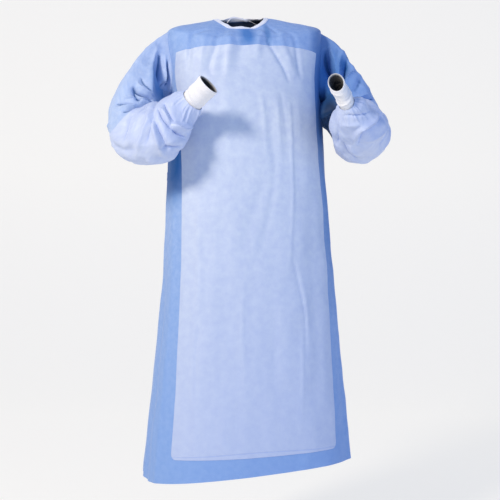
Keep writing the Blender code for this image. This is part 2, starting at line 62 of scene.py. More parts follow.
# ---------------------------------------------------------------- numbers and curves
def linear(colour: str) -> tuple[float, float, float, float]:
    """Turns an sRGB hex colour into linear light.

    Args:
        colour: a # and six hex digits.

    Returns:
        Red, green, blue and an alpha of 1.
    """
    parts = [int(colour[i : i + 2], 16) / 255 for i in (1, 3, 5)]
    parts = [c / 12.92 if c <= 0.04045 else ((c + 0.055) / 1.055) ** 2.4 for c in parts]
    return (parts[0], parts[1], parts[2], 1.0)


def unit(vectors: np.ndarray) -> np.ndarray:
    """The vectors at length 1."""
    vectors = np.asarray(vectors, float)
    return vectors / np.maximum(np.linalg.norm(vectors, axis=-1, keepdims=True), 1e-12)


def dot(first: np.ndarray, second: np.ndarray) -> np.ndarray:
    """The vectors' dot products, kept as a last axis of 1."""
    return np.sum(first * second, axis=-1, keepdims=True)


def ramp(values: np.ndarray, low: float, high: float) -> np.ndarray:
    """0 below low, 1 above high, and a soft S between them."""
    t = np.clip((np.asarray(values, float) - low) / (high - low), 0.0, 1.0)
    return t * t * (3 - 2 * t)


def hermite(
    start: np.ndarray, start_pull: np.ndarray, end: np.ndarray, end_pull: np.ndarray, t: np.ndarray
) -> np.ndarray:
    """Cubic from start to end.

    Args:
        start: where it starts.
        start_pull: the way it leaves, times how hard it holds to it.
        end: where it ends.
        end_pull: the same for the way it arrives.
        t: how far along it is, from 0 to 1.

    Returns:
        The cubic's points at each t.
    """
    return (
        (1 + 2 * t) * (1 - t) ** 2 * start
        + t * (1 - t) ** 2 * start_pull
        + t**2 * (3 - 2 * t) * end
        + t**2 * (t - 1) * end_pull
    )


def turned(vectors: np.ndarray, axis: np.ndarray, angle: np.ndarray) -> np.ndarray:
    """Turns vectors about an axis.

    Args:
        vectors: one for each angle, or one for all of them.
        axis: a unit vector.
        angle: one angle in radians for each result.

    Returns:
        The turned vectors.
    """
    angle = np.asarray(angle)[..., None]
    across, along = np.cross(axis, vectors), axis * dot(axis, vectors)
    return vectors * np.cos(angle) + across * np.sin(angle) + along * (1 - np.cos(angle))


class Curve:
    """A smooth curve through values at stations, which never overshoots them."""

    def __init__(self, stations: Iterable[float], values: Iterable[float]) -> None:
        """Keeps the points and works out a slope at each.

        Args:
            stations: where the values stand, in rising order.
            values: one value for each station.
        """
        self.stations = np.array(list(stations), float)
        self.values = np.array(list(values), float)
        rates = np.diff(self.values) / np.diff(self.stations)
        low, high = rates[:-1], rates[1:]
        turning = low * high <= 0
        middle = np.where(turning, 0.0, 2 * low * high / np.where(turning, 1.0, low + high))
        self.slopes = np.concatenate([rates[:1], middle, rates[-1:]])

    def __call__(self, at: np.ndarray) -> np.ndarray:
        """Reads the curve.

        Args:
            at: an array of stations.

        Returns:
            One value for each.
        """
        at = np.asarray(at, float)
        i = np.clip(np.searchsorted(self.stations, at) - 1, 0, len(self.stations) - 2)
        step = self.stations[i + 1] - self.stations[i]
        t = (at - self.stations[i]) / step
        leaving, arriving = step * self.slopes[i], step * self.slopes[i + 1]
        return hermite(self.values[i], leaving, self.values[i + 1], arriving, t)


def through(path: Path, count: int) -> np.ndarray:
    """Points on a smooth line through a path's points.

    Args:
        path: two or more (along, degrees) pairs.
        count: how many points to return.

    Returns:
        An array of count (along, degrees) rows.
    """
    knots = np.array(path, float)
    knots = np.concatenate([2 * knots[:1] - knots[1:2], knots, 2 * knots[-1:] - knots[-2:-1]])
    at = np.linspace(0, len(path) - 1 - 1e-9, count)
    i = at.astype(int)
    before, start, end, after = (knots[i + k] for k in range(4))
    return hermite(start, (end - before) / 2, end, (after - start) / 2, (at - i)[:, None])


def crumple(
    points: np.ndarray, size_mm: float, height_mm: float, seed: float, sharp: bool = False
) -> np.ndarray:
    """The small uneven dents of a crisp non-woven.

    Args:
        points: where the cloth is.
        size_mm: how far apart the dents are.
        height_mm: how deep they are.
        seed: a number that sets this cloth's dents apart from the next one's.
        sharp: whether the dents meet in sharp ridges.

    Returns:
        Distances in metres, positive outwards.
    """
    places = points.reshape(-1, 3) / (size_mm * MM) + seed
    waves = np.array([noise.noise(Vector(place)) for place in places])
    if sharp:
        waves = 0.25 - np.abs(waves)
    return waves.reshape(points.shape[:-1]) * height_mm * MM


# ---------------------------------------------------------------- creases
class Profile(Enum):
    """The shape of a crease, cut square across."""

    SOFT = "a rounded swell"
    CRISP = "a peak, as where stiff cloth is pressed together"


class Ends(Enum):
    """Where a crease fades out."""

    BOTH = "at both its ends"
    FAR = "only at its far end"


CRISP = Profile.CRISP
FAR = Ends.FAR


class Form:
    """A surface that creases lie on."""

    def point(self, along: np.ndarray, degrees: np.ndarray) -> np.ndarray:
        """The surface's points. Each kind of form gives its own."""
        raise NotImplementedError

    def normal(self, along: np.ndarray, degrees: np.ndarray) -> np.ndarray:
        """Unit normals that point out of the garment. Each kind of form gives its own."""
        raise NotImplementedError

    def trace(self, path: Path, spacing: float) -> tuple[np.ndarray, np.ndarray]:
        """Follows a smooth path over the surface.

        Args:
            path: its (along, degrees) pairs.
            spacing: about how far apart the points are, in metres.

        Returns:
            Points on the surface, and unit normals out of it.
        """
        rough = through(path, 24)
        length = np.linalg.norm(np.diff(self.point(rough[:, 0], rough[:, 1]), axis=0), axis=1).sum()
        fine = through(path, int(np.clip(length / spacing, 12, 240)))
        return self.point(fine[:, 0], fine[:, 1]), self.normal(fine[:, 0], fine[:, 1])


@dataclass(frozen=True)
class Crease:
    """One fold, placed on a form.

    The path holds (along, degrees) pairs in the form's own terms. A ridge has a positive height and
    a trough a negative one.
    """

    name: str
    path: Path
    half_width_mm: float
    height_mm: float
    profile: Profile = Profile.SOFT
    ends: Ends = Ends.BOTH

    def shape(self, q: np.ndarray) -> np.ndarray:
        """The crease, cut square across.

        Args:
            q: distances from its middle line, in half widths.

        Returns:
            Shares of its full height.
        """
        if self.profile is Profile.SOFT:
            return np.exp(-q * q)
        # The 0.05 rounds the peak off, and its root, 0.2236, brings the peak back to 1.
        return np.exp(-1.6 * (np.sqrt(q * q + 0.05) - 0.2236))

    def fade(self, t: np.ndarray) -> np.ndarray:
        """The crease along its middle line.

        Args:
            t: places along it, from 0 to 1.

        Returns:
            Shares of its full height.
        """
        if self.ends is Ends.BOTH:
            return np.clip(np.sin(math.pi * t), 0, 1) ** 0.7
        return np.clip(np.cos(math.pi * t / 2), 0, 1) ** 0.8

    def heights(self, points: np.ndarray, normals: np.ndarray, form: Form) -> np.ndarray:
        """How far the crease moves the cloth at each point.

        Args:
            points: the form's own points, an array of rows and columns.
            normals: their unit normals.
            form: the form that the crease's path lies on.

        Returns:
            Distances in metres, positive outwards.
        """
        width = self.half_width_mm * MM
        line, facing = form.trace(self.path, width / 4)
        reach = 3.5 * width
        near = np.all((points > line.min(axis=0) - reach) & (points < line.max(axis=0) + reach), axis=-1)
        heights = np.zeros(points.shape[:-1])
        if not near.any():
            return heights
        close = points[near]
        nearest = np.argmin((line * line).sum(axis=1) - 2 * close @ line.T, axis=1)
        tangent = unit(np.gradient(line, axis=0))[nearest]
        gap = close - line[nearest]
        past = dot(gap, tangent)
        inside = (nearest > 0) & (nearest < len(line) - 1)
        gap = gap - tangent * past * inside[:, None]
        spacing = np.linalg.norm(np.diff(line, axis=0), axis=1).mean()
        t = np.clip((nearest + past[:, 0] / spacing) / (len(line) - 1), 0.0, 1.0)
        q = np.linalg.norm(gap, axis=1) / width
        alike = np.clip(2.5 * dot(normals[near], facing[nearest])[:, 0], 0.0, 1.0)
        # Cloth that faces another way than the crease's own, as behind a thin sleeve, isn't moved.
        heights[near] = self.height_mm * MM * self.shape(q) * self.fade(t) * alike
        return heights


@dataclass(frozen=True)
class Pleat:
    """A fold that fans out from the inside of an elbow.

    Its place and its half width are in rings. It moves on by its drift on its way to the outside of
    the elbow, and reaches round a share of the sleeve.
    """

    ring: float
    half_rings: float
    depth_mm: float
    drift: float
    reach: float

    def heights(self, rings: np.ndarray, degrees: np.ndarray) -> np.ndarray:
        """How far the pleat moves the cloth.

        Args:
            rings: each point's ring.
            degrees: each point's place round the sleeve.

        Returns:
            Distances in metres, positive outwards.
        """
        from_crook = np.abs((degrees - 90 + 180) % 360 - 180) / 180
        q = (rings - self.ring - self.drift * from_crook) / self.half_rings
        strength = (1 - ramp(from_crook, 0.1, self.reach)) * 0.85 + 0.15 * (1 - from_crook)
        # 0.283 is the root of 0.08, so the deepest line has the full depth.
        return -self.depth_mm * MM * np.exp(-1.4 * (np.sqrt(q * q + 0.08) - 0.283)) * strength


# ---------------------------------------------------------------- the body's form
@dataclass(frozen=True)
class Section:
    """The body's outline at one station. Tilt is its rise for each metre of +X."""

    station: float
    side_z: float
    tilt: float
    front_rise: float
    back_rise: float
    half_width: float
    front: float
    back: float
    shift_x: float
    shift_y: float


@dataclass
class BodyForm(Form):
    """The body, lofted through superelliptic sections. Degrees run from the centre front to the left."""

    squareness: float = 2.35
    armhole_front_deg: float = 14
    armhole_back_deg: float = 34
    normal_step: tuple[float, float] = (0.012, 1.5)  # stations and degrees
    sections: tuple[Section, ...] = (
        #       station side_z  tilt front_rise back_rise half_width front  back  shift_x shift_y
        Section(0.00, -1.199, 0.075, 0.012, 0.006, 0.277, 0.182, 0.165, 0.019, -0.010),
        Section(0.06, -1.144, 0.030, 0.004, 0.004, 0.272, 0.180, 0.162, 0.019, -0.010),
        Section(0.25, -0.962, 0.000, 0.000, 0.000, 0.253, 0.172, 0.156, 0.022, -0.010),
        Section(0.50, -0.722, 0.000, 0.000, 0.000, 0.232, 0.160, 0.146, 0.022, -0.010),
        Section(0.75, -0.481, 0.000, 0.000, 0.000, 0.214, 0.148, 0.134, 0.016, -0.008),
        Section(0.88, -0.357, 0.000, 0.000, 0.000, 0.207, 0.140, 0.126, 0.013, -0.006),
        Section(1.00, -0.240, 0.000, 0.000, 0.000, 0.203, 0.134, 0.122, 0.013, -0.004),
        Section(1.50, -0.148, 0.015, 0.000, 0.000, 0.205, 0.124, 0.114, 0.013, 0.000),
        Section(1.86, -0.072, 0.040, -0.003, 0.004, 0.211, 0.110, 0.100, 0.014, 0.000),
        Section(2.00, -0.032, 0.048, -0.036, -0.004, 0.209, 0.103, 0.090, 0.014, 0.000),
        Section(2.50, -0.010, 0.060, -0.042, 0.008, 0.136, 0.089, 0.070, 0.008, 0.000),
        Section(3.00, 0.002, 0.090, -0.044, 0.012, 0.073, 0.078, 0.058, 0.001, 0.000),
    )
    curves: dict[str, Curve] = field(init=False)

    def __post_init__(self) -> None:
        """Works out a curve for each column of the sections."""
        stations = [section.station for section in self.sections]
        names = [name for name in Section.__dataclass_fields__ if name != "station"]
        self.curves = {name: Curve(stations, [getattr(s, name) for s in self.sections]) for name in names}

    def point(self, along: np.ndarray, degrees: np.ndarray) -> np.ndarray:
        """Points on the body's outer side, before any crease.

        Args:
            along: stations.
            degrees: places round the body.

        Returns:
            One point for each pair.
        """
        at = {name: curve(along) for name, curve in self.curves.items()}
        angle = np.radians(degrees)
        across, forward = np.sin(angle), np.cos(angle)
        power = 2 / self.squareness
        depth = np.where(forward > 0, at["front"], at["back"])
        rise = np.where(forward > 0, at["front_rise"], at["back_rise"])
        x = at["half_width"] * np.sign(across) * np.abs(across) ** power + at["shift_x"]
        y = at["shift_y"] - depth * np.sign(forward) * np.abs(forward) ** power
        z = at["side_z"] + rise * np.abs(forward) ** 1.5 + at["tilt"] * x
        return np.stack([x, y, z], axis=-1)

    def normal(self, along: np.ndarray, degrees: np.ndarray) -> np.ndarray:
        """Unit normals of the body, from points a little way to each side.

        Args:
            along: stations.
            degrees: places round the body.

        Returns:
            One normal for each pair, pointing out.
        """
        along, degrees = np.asarray(along, float), np.asarray(degrees, float)
        step, turn = self.normal_step
        low, high = np.clip(along - step, 0, NECKLINE), np.clip(along + step, 0, NECKLINE)
        round_it = self.point(along, degrees + turn) - self.point(along, degrees - turn)
        return unit(np.cross(round_it, self.point(high, degrees) - self.point(low, degrees)))

    def armhole(self, station: np.ndarray, back: bool) -> np.ndarray:
        """How many degrees the armhole takes out of the front, or of a back panel, at a station."""
        t = np.clip(np.asarray(station, float) - 1, 0, 1)
        return (self.armhole_back_deg if back else self.armhole_front_deg) * np.sin(math.pi * t) ** 0.75


# ---------------------------------------------------------------- the sleeves' form
@dataclass(frozen=True)
class Arm:
    """Where one sleeve runs, in metres.

    Its rings turn like a fan about a hinge at the crook, inside the elbow. The reaches, from the crook
    to the outside of the sleeve, and the half widths are the fan's at its start, middle and end.
    """

    word: str
    side: int
    crook: tuple[float, float, float]
    elbow_tip: tuple[float, float, float]
    hinge: tuple[float, float, float]
    slant: float
    start_deg: float
    end_deg: float
    crook_gap: float
    reaches: tuple[float, float, float]
    widths: tuple[float, float, float]
    wrist: tuple[float, float, float]
    cuff_end: tuple[float, float, float]
    cuff_side: tuple[float, float, float]
    cuff_side_radius: float
    cuff_crook_radius: float
    leave: tuple[float, float, float]
    cuff_tilt: float
    cuff_wrinkle: float

    def cuff_frame(self) -> tuple[np.ndarray, np.ndarray, np.ndarray]:
        """The cuff's direction, its side direction and the one towards the inside of the elbow."""
        ahead = unit(np.subtract(self.cuff_end, self.wrist))
        side = np.array(self.cuff_side, float)
        side = unit(side - ahead * np.dot(side, ahead))
        return ahead, side, np.cross(ahead, side) * self.side

    def oval(self, centre: np.ndarray, grow: np.ndarray, angle: np.ndarray) -> np.ndarray:
        """Points of an oval that stands square to the cuff.

        Args:
            centre: its middle.
            grow: what the cuff's own size grows by, in metres, at each angle.
            angle: radians round the cuff, from under the arm over the inside of the elbow.

        Returns:
            One point for each angle.
        """
        _, side, crook = self.cuff_frame()
        wide = (self.cuff_side_radius + grow) * np.cos(angle)
        tall = (self.cuff_crook_radius + grow) * np.sin(angle)
        return centre - wide[..., None] * side + tall[..., None] * crook


RIGHT_ARM = Arm(
    word="right",
    side=-1,
    crook=(-0.230, -0.112, -0.244),
    elbow_tip=(-0.292, -0.047, -0.402),
    hinge=(-0.75, -0.57, 0.35),
    slant=0.15,
    start_deg=54,
    end_deg=62,
    crook_gap=0.016,
    reaches=(0.136, 0.170, 0.168),
    widths=(0.072, 0.074, 0.060),
    wrist=(-0.156, -0.190, -0.252),
    cuff_end=(-0.124, -0.240, -0.219),
    cuff_side=(-0.70, -0.05, 0.70),
    cuff_side_radius=0.0270,
    cuff_crook_radius=0.0190,
    leave=(-0.80, -0.10, -0.50),
    cuff_tilt=-0.0045,
    cuff_wrinkle=1.3,
)
LEFT_ARM = Arm(
    word="left",
    side=1,
    crook=(0.262, -0.117, -0.234),
    elbow_tip=(0.382, -0.050, -0.378),
    hinge=(0.84, -0.36, 0.40),
    slant=0.0,
    start_deg=46,
    end_deg=54,
    crook_gap=0.016,
    reaches=(0.144, 0.172, 0.150),
    widths=(0.074, 0.080, 0.066),
    wrist=(0.212, -0.279, -0.260),
    cuff_end=(0.174, -0.313, -0.216),
    cuff_side=(0.82, -0.37, 0.42),
    cuff_side_radius=0.0180,
    cuff_crook_radius=0.0270,
    leave=(0.78, -0.10, -0.55),
    cuff_tilt=0.008,
    cuff_wrinkle=3.0,
)


def grid_normals(grid: np.ndarray, around: bool) -> np.ndarray:
    """Unit normals of a grid, pointing away from what it curves round.

    Args:
        grid: rows and columns of points.
        around: whether the last column meets the first.

    Returns:
        One normal for each point.
    """
    down = np.gradient(grid, axis=0)
    if around:
        across = np.roll(grid, -1, axis=1) - np.roll(grid, 1, axis=1)
        away = grid - grid.mean(axis=1, keepdims=True)
    else:
        across = np.gradient(grid, axis=1)
        away = grid * np.array([1.0, 1.0, 0.0])
    normal = unit(np.cross(across, down))
    return normal if np.sum(normal * away) > 0 else -normal


@dataclass
class SleeveForm(Form):
    """A whole sleeve as a fine grid, from ring 0 at the armhole to ring 27 at the wrist.

    Round the sleeve, 0 degrees is under the arm, 90 inside the elbow and 180 on top.
    """

    arm: Arm
    body: BodyForm
    elbow_ring: float = 7
    forearm_ring: float = 19
    last_ring: float = 27
    rows: int = 271
    columns: int = 190
    pull: float = 0.9  # how hard the upper arm and the forearm hold to the fan's own direction
    fan_step: float = 0.04
    wrist_closing: float = 0.55  # how steeply the sleeve draws in at the wrist
    softening: int = 40
    cuff_clearance: float = 0.0012
    rings: np.ndarray = field(init=False)
    degrees: np.ndarray = field(init=False)
    points: np.ndarray = field(init=False)
    normals: np.ndarray = field(init=False)

    def __post_init__(self) -> None:
        """Lofts the sleeve and smooths the joins between its three stretches."""
        self.rings = np.linspace(0, self.last_ring, self.rows)
        self.degrees = np.linspace(0, 360, self.columns, endpoint=False)
        angle = np.radians(self.degrees)
        grid = np.array([self.loop(r, angle) for r in self.rings])
        for _ in range(self.softening):
            grid[1:-1] = (grid[:-2] + 2 * grid[1:-1] + grid[2:]) / 4
        self.points = grid
        self.normals = grid_normals(grid, around=True)

    def start(self, angle: np.ndarray) -> np.ndarray:
        """The armhole's own points, up the front, over the shoulder and down the back.

        Args:
            angle: radians round the sleeve.

        Returns:
            One point for each angle.
        """
        front = angle <= math.pi
        station = np.where(front, 1 + angle / math.pi, 3 - angle / math.pi)
        opened = np.where(front, -self.body.armhole(station, False), self.body.armhole(station, True))
        return self.body.point(station, self.arm.side * (90 + opened))

    def fan(self, t: float, angle: np.ndarray) -> np.ndarray:
        """One ring of the elbow's fan.

        Args:
            t: where it stands, from 0 above the elbow to 1 below it.
            angle: radians round the sleeve.

        Returns:
            One point for each angle.
        """
        arm = self.arm
        hinge = unit(np.array(arm.hinge))
        middle = np.subtract(arm.elbow_tip, arm.crook)
        middle = unit(middle - hinge * np.dot(middle, hinge))
        late = t + arm.slant * math.sin(math.pi * t) * (np.sin(angle) - np.cos(angle))
        opened = np.radians((arm.start_deg + arm.end_deg) * late - arm.start_deg)
        out = turned(middle[None, :], hinge, -arm.side * opened)
        reach, width = (np.interp(late, [0, 0.5, 1], sizes) for sizes in (arm.reaches, arm.widths))
        centre = arm.crook_gap + (reach - arm.crook_gap) / 2 * (1 - np.sin(angle))
        return arm.crook + out * centre[:, None] - hinge * (width * np.cos(angle))[:, None]

    def loop(self, ring: float, angle: np.ndarray) -> np.ndarray:
        """Any one ring of the sleeve.

        Args:
            ring: its number, from 0 at the armhole.
            angle: radians round the sleeve.

        Returns:
            One point for each angle.
        """
        if self.elbow_ring <= ring <= self.forearm_ring:
            return self.fan((ring - self.elbow_ring) / (self.forearm_ring - self.elbow_ring), angle)
        if ring < self.elbow_ring:
            start, first = self.start(angle), self.fan(0, angle)
            into = unit((self.fan(self.fan_step, angle) - first).mean(axis=0))
            reach = np.linalg.norm(first - start, axis=1, keepdims=True) * self.pull
            leave = unit(np.array(self.arm.leave))
            return hermite(start, leave * reach, first, into * reach, ring / self.elbow_ring)
        last = self.fan(1, angle)
        out = unit((last - self.fan(1 - self.fan_step, angle)).mean(axis=0))
        clear = np.full_like(angle, self.cuff_clearance)
        wrist = self.arm.oval(np.array(self.arm.wrist), clear, angle)
        reach = np.linalg.norm(wrist - last, axis=1, keepdims=True) * self.pull
        arrive = self.arm.cuff_frame()[0] - self.wrist_closing * unit(wrist - wrist.mean(axis=0))
        t = (ring - self.forearm_ring) / (self.last_ring - self.forearm_ring)
        return hermite(last, out * reach, wrist, arrive * reach, t)

    def sample(self, grid: np.ndarray, along: np.ndarray, degrees: np.ndarray) -> np.ndarray:
        """Reads one of the sleeve's own grids between its points.

        Args:
            grid: one row of values for each ring of the grid.
            along: rings.
            degrees: places round the sleeve.

        Returns:
            One value for each pair.
        """
        row = np.clip(np.asarray(along, float) / self.last_ring, 0, 1) * (self.rows - 1)
        column = np.asarray(degrees, float) / 360 * self.columns
        r, c = np.minimum(row.astype(int), self.rows - 2), np.floor(column).astype(int)
        s, t = (row - r)[..., None], (column - c)[..., None]
        c, d = c % self.columns, (c + 1) % self.columns
        low = grid[r, c] * (1 - t) + grid[r, d] * t
        return low * (1 - s) + (grid[r + 1, c] * (1 - t) + grid[r + 1, d] * t) * s

    def point(self, along: np.ndarray, degrees: np.ndarray) -> np.ndarray:
        """Points on the sleeve's outer side, before any crease."""
        return self.sample(self.points, along, degrees)

    def normal(self, along: np.ndarray, degrees: np.ndarray) -> np.ndarray:
        """Unit normals of the sleeve, pointing out."""
        return unit(self.sample(self.normals, along, degrees))


# ---------------------------------------------------------------- meshes
SHARP_ANGLE = math.radians(65)
# The inner side's darkening is painted shade.
INNER_STARTS = 0.0012  # how far from its last row a shell's inner side starts to darken
INNER_FULL = 0.007  # and how far from it the inner side is at its darkest


def travelled(grid: np.ndarray, axis: int) -> np.ndarray:
    """How far along the cloth each point of a grid lies.

    Args:
        grid: rows and columns of points.
        axis: 0 to count from the first row, or 1 from the first column.

    Returns:
        Distances in metres.
    """
    steps = np.linalg.norm(np.diff(grid, axis=axis), axis=-1)
    start = np.zeros_like(np.take(steps, [0], axis=axis))
    return np.concatenate([start, np.cumsum(steps, axis=axis)], axis=axis)


def fold_depth(
    grid: np.ndarray, around: bool, reach: float = 0.0042, start: float = 0.0003, full: float = 0.0018
) -> np.ndarray:
    """How far each point lies down in a fold, from 0 to 1, the mask that shade is painted by.

    Args:
        grid: rows and columns of points.
        around: whether the last column meets the first.
        reach: how far round each point the cloth is averaged to find its level, in metres.
        start: how far under that level a point starts to count, in metres.
        full: how far under it a point counts as 1.

    Returns:
        One value for each point.
    """
    level = grid
    spacing = np.linalg.norm(np.diff(grid, axis=0), axis=-1).mean()
    for _ in range(max(1, round(2 * (reach / spacing) ** 2))):
        wide = np.pad(level, ((0, 0), (1, 1), (0, 0)), mode="wrap" if around else "edge")
        tall = np.pad(level, ((1, 1), (0, 0), (0, 0)), mode="edge")
        level = (wide[:, :-2] + wide[:, 2:] + tall[:-2] + tall[2:]) / 4
    return ramp(dot(level - grid, grid_normals(grid, around))[..., 0], start, full)


def in_scene(name: str, data: bpy.types.ID) -> bpy.types.Object:
    """Makes an object in the scene.

    Args:
        name: its name.
        data: its mesh, light or camera.

    Returns:
        The new object.
    """
    made = bpy.data.objects.new(name, data)
    bpy.context.scene.collection.objects.link(made)
    return made


def make_object(
    name: str, points: np.ndarray, faces: np.ndarray, cloth: np.ndarray, fold: np.ndarray
) -> bpy.types.Object:
    """Makes a closed mesh that faces outwards, in the scene.

    Args:
        name: the piece's name.
        points: one row for each point.
        faces: one row of four point numbers for each quad.
        cloth: the place of each quad's corners on the flat cloth, in metres.
        fold: how far down in a fold each point lies, from 0 to 1, or on an inner side from 1 to 2; the
            materials paint shade by it.

    Returns:
        The new object.
    """
    a, b, c, d = (points[faces[:, i]] for i in range(4))
    volume = np.einsum("ij,ij->", a, np.cross(b, c)) + np.einsum("ij,ij->", a, np.cross(c, d))
    if volume < 0:
        faces, cloth = faces[:, ::-1], cloth[:, ::-1]
    mesh = bpy.data.meshes.new(name)
    mesh.from_pydata(points.tolist(), [], faces.tolist())
    mesh.shade_smooth()
    mesh.set_sharp_from_angle(angle=SHARP_ANGLE)
    place = mesh.uv_layers.new(name="cloth")
    place.uv.foreach_set("vector", np.ascontiguousarray(cloth, np.float32).ravel())
    mesh.attributes.new("fold", "FLOAT", "POINT").data.foreach_set("value", fold.astype(np.float32))
    return in_scene(name, mesh)


def make_shell(name: str, outer: np.ndarray, inner: np.ndarray, around: bool = False) -> bpy.types.Object:
    """Makes one closed shell of cloth between two grids of points.

    Args:
        name: the piece's name.
        outer: rows and columns of points on the outer side.
        inner: the same on the inner side.
        around: whether the last column meets the first.

    Returns:
        The new object.
    """
    count = outer.shape[0] * outer.shape[1]
    index = np.arange(count).reshape(outer.shape[:2])
    looped = outer
    if around:
        index = np.concatenate([index, index[:, :1]], axis=1)
        looped = np.concatenate([outer, outer[:, :1]], axis=1)
    across, along = travelled(looped, 1), travelled(looped, 0)
    place = np.stack([across - across.mean(axis=1, keepdims=True), along], axis=-1)

    def cells(grid: np.ndarray) -> np.ndarray:
        """The four corners of each cell of a grid."""
        corners = np.stack([grid[:-1, :-1], grid[:-1, 1:], grid[1:, 1:], grid[1:, :-1]], axis=2)
        return corners.reshape(-1, 4, *grid.shape[2:])

    def edge(grid: np.ndarray, back: np.ndarray) -> np.ndarray:
        """The cells that close the shell round its free edges.

        Args:
            grid: what the outer side's points have.
            back: what the inner side's points have.

        Returns:
            The four corners of each cell.
        """
        runs = [(grid[0, ::-1], back[0, ::-1]), (grid[-1], back[-1])]
        if not around:
            runs += [(grid[:, 0], back[:, 0]), (grid[::-1, -1], back[::-1, -1])]
        quads = [np.stack([g[:-1], g[1:], b[1:], b[:-1]], axis=1) for g, b in runs]
        return np.concatenate(quads)

    faces = np.concatenate([cells(index), cells(index)[:, ::-1] + count, edge(index, index + count)])
    cloth = np.concatenate([cells(place), cells(place)[:, ::-1], edge(place, place)])
    from_start = travelled(inner, 0)
    # The inner side counts from 1 to 2, and the materials paint shade on it, darkest away from the last row.
    inside = 1 + ramp(from_start[-1:] - from_start, INNER_STARTS, INNER_FULL)
    fold = np.concatenate([fold_depth(outer, around).ravel(), inside.ravel()])
    points = np.concatenate([outer.reshape(-1, 3), inner.reshape(-1, 3)])
    return make_object(name, points, faces, cloth, fold)


class Hold(Enum):
    """How a piece of cloth is held."""

    HUNG = "hung"
    LAID = "laid"
    FOLDED = "folded"
    GATHERED = "gathered"
    STRETCHED = "stretched"


@dataclass(frozen=True)
class Cut:
    """The flat sheet that a piece is cut from, in metres, and what holds it."""

    width: float
    length: float
    area: float
    hold: Hold
    rests_on: tuple[str, ...]


def dress(piece: bpy.types.Object, node: str, material: bpy.types.Material, cut: Cut) -> None:
    """Gives a piece its finish and its body, hides the solid that it stands for and logs how its cut is held.

    Args:
        piece: the piece.
        node: the solid.
        material: the finish.
        cut: the flat sheet.
    """
    piece.data.materials.append(material)
    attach(piece, "root")
    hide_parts(node)
    log.info("%s: %d faces, %s", piece.name, len(piece.data.polygons), cut.hold.value)


# ---------------------------------------------------------------- finishes
def add(tree: Tree, kind: str, settings: dict | None = None, links: dict | None = None) -> bpy.types.Node:
    """Adds a node.

    Args:
        tree: the tree to add it to.
        kind: the node's type name.
        settings: values of its properties, or of its inputs by name or number.
        links: the sockets that feed its inputs, by name or number.

    Returns:
        The new node.
    """
    node = tree.nodes.new(kind)
    for key, value in (settings or {}).items():
        if isinstance(key, int) or not hasattr(node, key):
            node.inputs[key].default_value = value
        else:
            setattr(node, key, value)
    for key, source in (links or {}).items():
        tree.links.new(source, node.inputs[key])
    return node


def start_material(name: str, values: dict) -> tuple[bpy.types.Material, Tree]:
    """A new material.

    Args:
        name: the material's name.
        values: numbers and colours for its shader's own sockets, by name.

    Returns:
        The material and its tree.
    """
    material = bpy.data.materials.new(name)
    material.use_nodes = True
    shader = material.node_tree.nodes["Principled BSDF"]
    for socket, value in values.items():
        shader.inputs[socket].default_value = value
    return material, material.node_tree


def feed(tree: Tree, sources: dict[str, Socket]) -> None:
    """Links sources to a shader.

    Args:
        tree: the material's tree.
        sources: a socket for each input of the shader, by the input's name.
    """
    shader = tree.nodes["Principled BSDF"]
    for socket, source in sources.items():
        tree.links.new(source, shader.inputs[socket])


def on_cloth(tree: Tree, scale: tuple[float, float]) -> Socket:
    """The place on the flat cloth.

    Args:
        tree: the material's tree.
        scale: what the metres across and along the cloth are multiplied by.

    Returns:
        The place's socket.
    """
    place = add(tree, "ShaderNodeUVMap", {"uv_map": "cloth"})
    factor = {"operation": "MULTIPLY", 1: (scale[0], scale[1], 0.0)}
    return add(tree, "ShaderNodeVectorMath", factor, {0: place.outputs[0]}).outputs[0]


def lattice(tree: Tree, pitch_mm: tuple[float, float], low: float, high: float) -> Socket:
    """A diamond lattice of soft dots over the flat cloth.

    Args:
        tree: the material's tree.
        pitch_mm: the repeat across and along the cloth.
        low: where a dot starts, on a wave from -1 to 1.
        high: where it is full.

    Returns:
        A socket that is 1 in the dots and 0 between them.
    """
    turns = (2 * math.pi / (pitch_mm[0] * MM), 2 * math.pi / (pitch_mm[1] * MM))
    waves = add(tree, "ShaderNodeVectorMath", {"operation": "SINE"}, {0: on_cloth(tree, turns)})
    parts = add(tree, "ShaderNodeSeparateXYZ", {}, {0: waves.outputs[0]})
    links = {0: parts.outputs[0], 1: parts.outputs[1]}
    both = add(tree, "ShaderNodeMath", {"operation": "MULTIPLY"}, links)
    return ranged(tree, both.outputs[0], low, high, 0.0, 1.0)


def cloud(tree: Tree, size_mm: float, detail: float, stretch: float = 1.0) -> Socket:
    """Soft noise over the flat cloth.

    Args:
        tree: the material's tree.
        size_mm: the size of its clouds across the cloth.
        detail: how many finer layers it has.
        stretch: how many times longer the clouds are along the cloth.

    Returns:
        A socket from 0 to 1.
    """
    scale = (1 / (size_mm * MM), 1 / (size_mm * MM * stretch))
    settings = {"Scale": 1.0, "Detail": detail, "Roughness": 0.6}
    return add(tree, "ShaderNodeTexNoise", settings, {"Vector": on_cloth(tree, scale)}).outputs[0]


def ranged(tree: Tree, value: Socket, low: float, high: float, low_to: float, high_to: float) -> Socket:
    """A value moved from the range low to high to the range low_to to high_to, and held at its ends."""
    settings = {"From Min": low, "From Max": high, "To Min": low_to, "To Max": high_to}
    return add(tree, "ShaderNodeMapRange", settings, {"Value": value}).outputs["Result"]


def blended(tree: Tree, factor: Socket, first: Socket | str, second: str) -> Socket:
    """A colour between two others.

    Args:
        tree: the material's tree.
        factor: 0 for the first and 1 for the second.
        first: a socket, or an sRGB hex colour.
        second: an sRGB hex colour.

    Returns:
        The blended colour's socket.
    """
    mix = add(tree, "ShaderNodeMix", {"data_type": "RGBA"}, {0: factor})
    if isinstance(first, str):
        mix.inputs[6].default_value = linear(first)
    else:
        tree.links.new(first, mix.inputs[6])
    mix.inputs[7].default_value = linear(second)
    return mix.outputs[2]


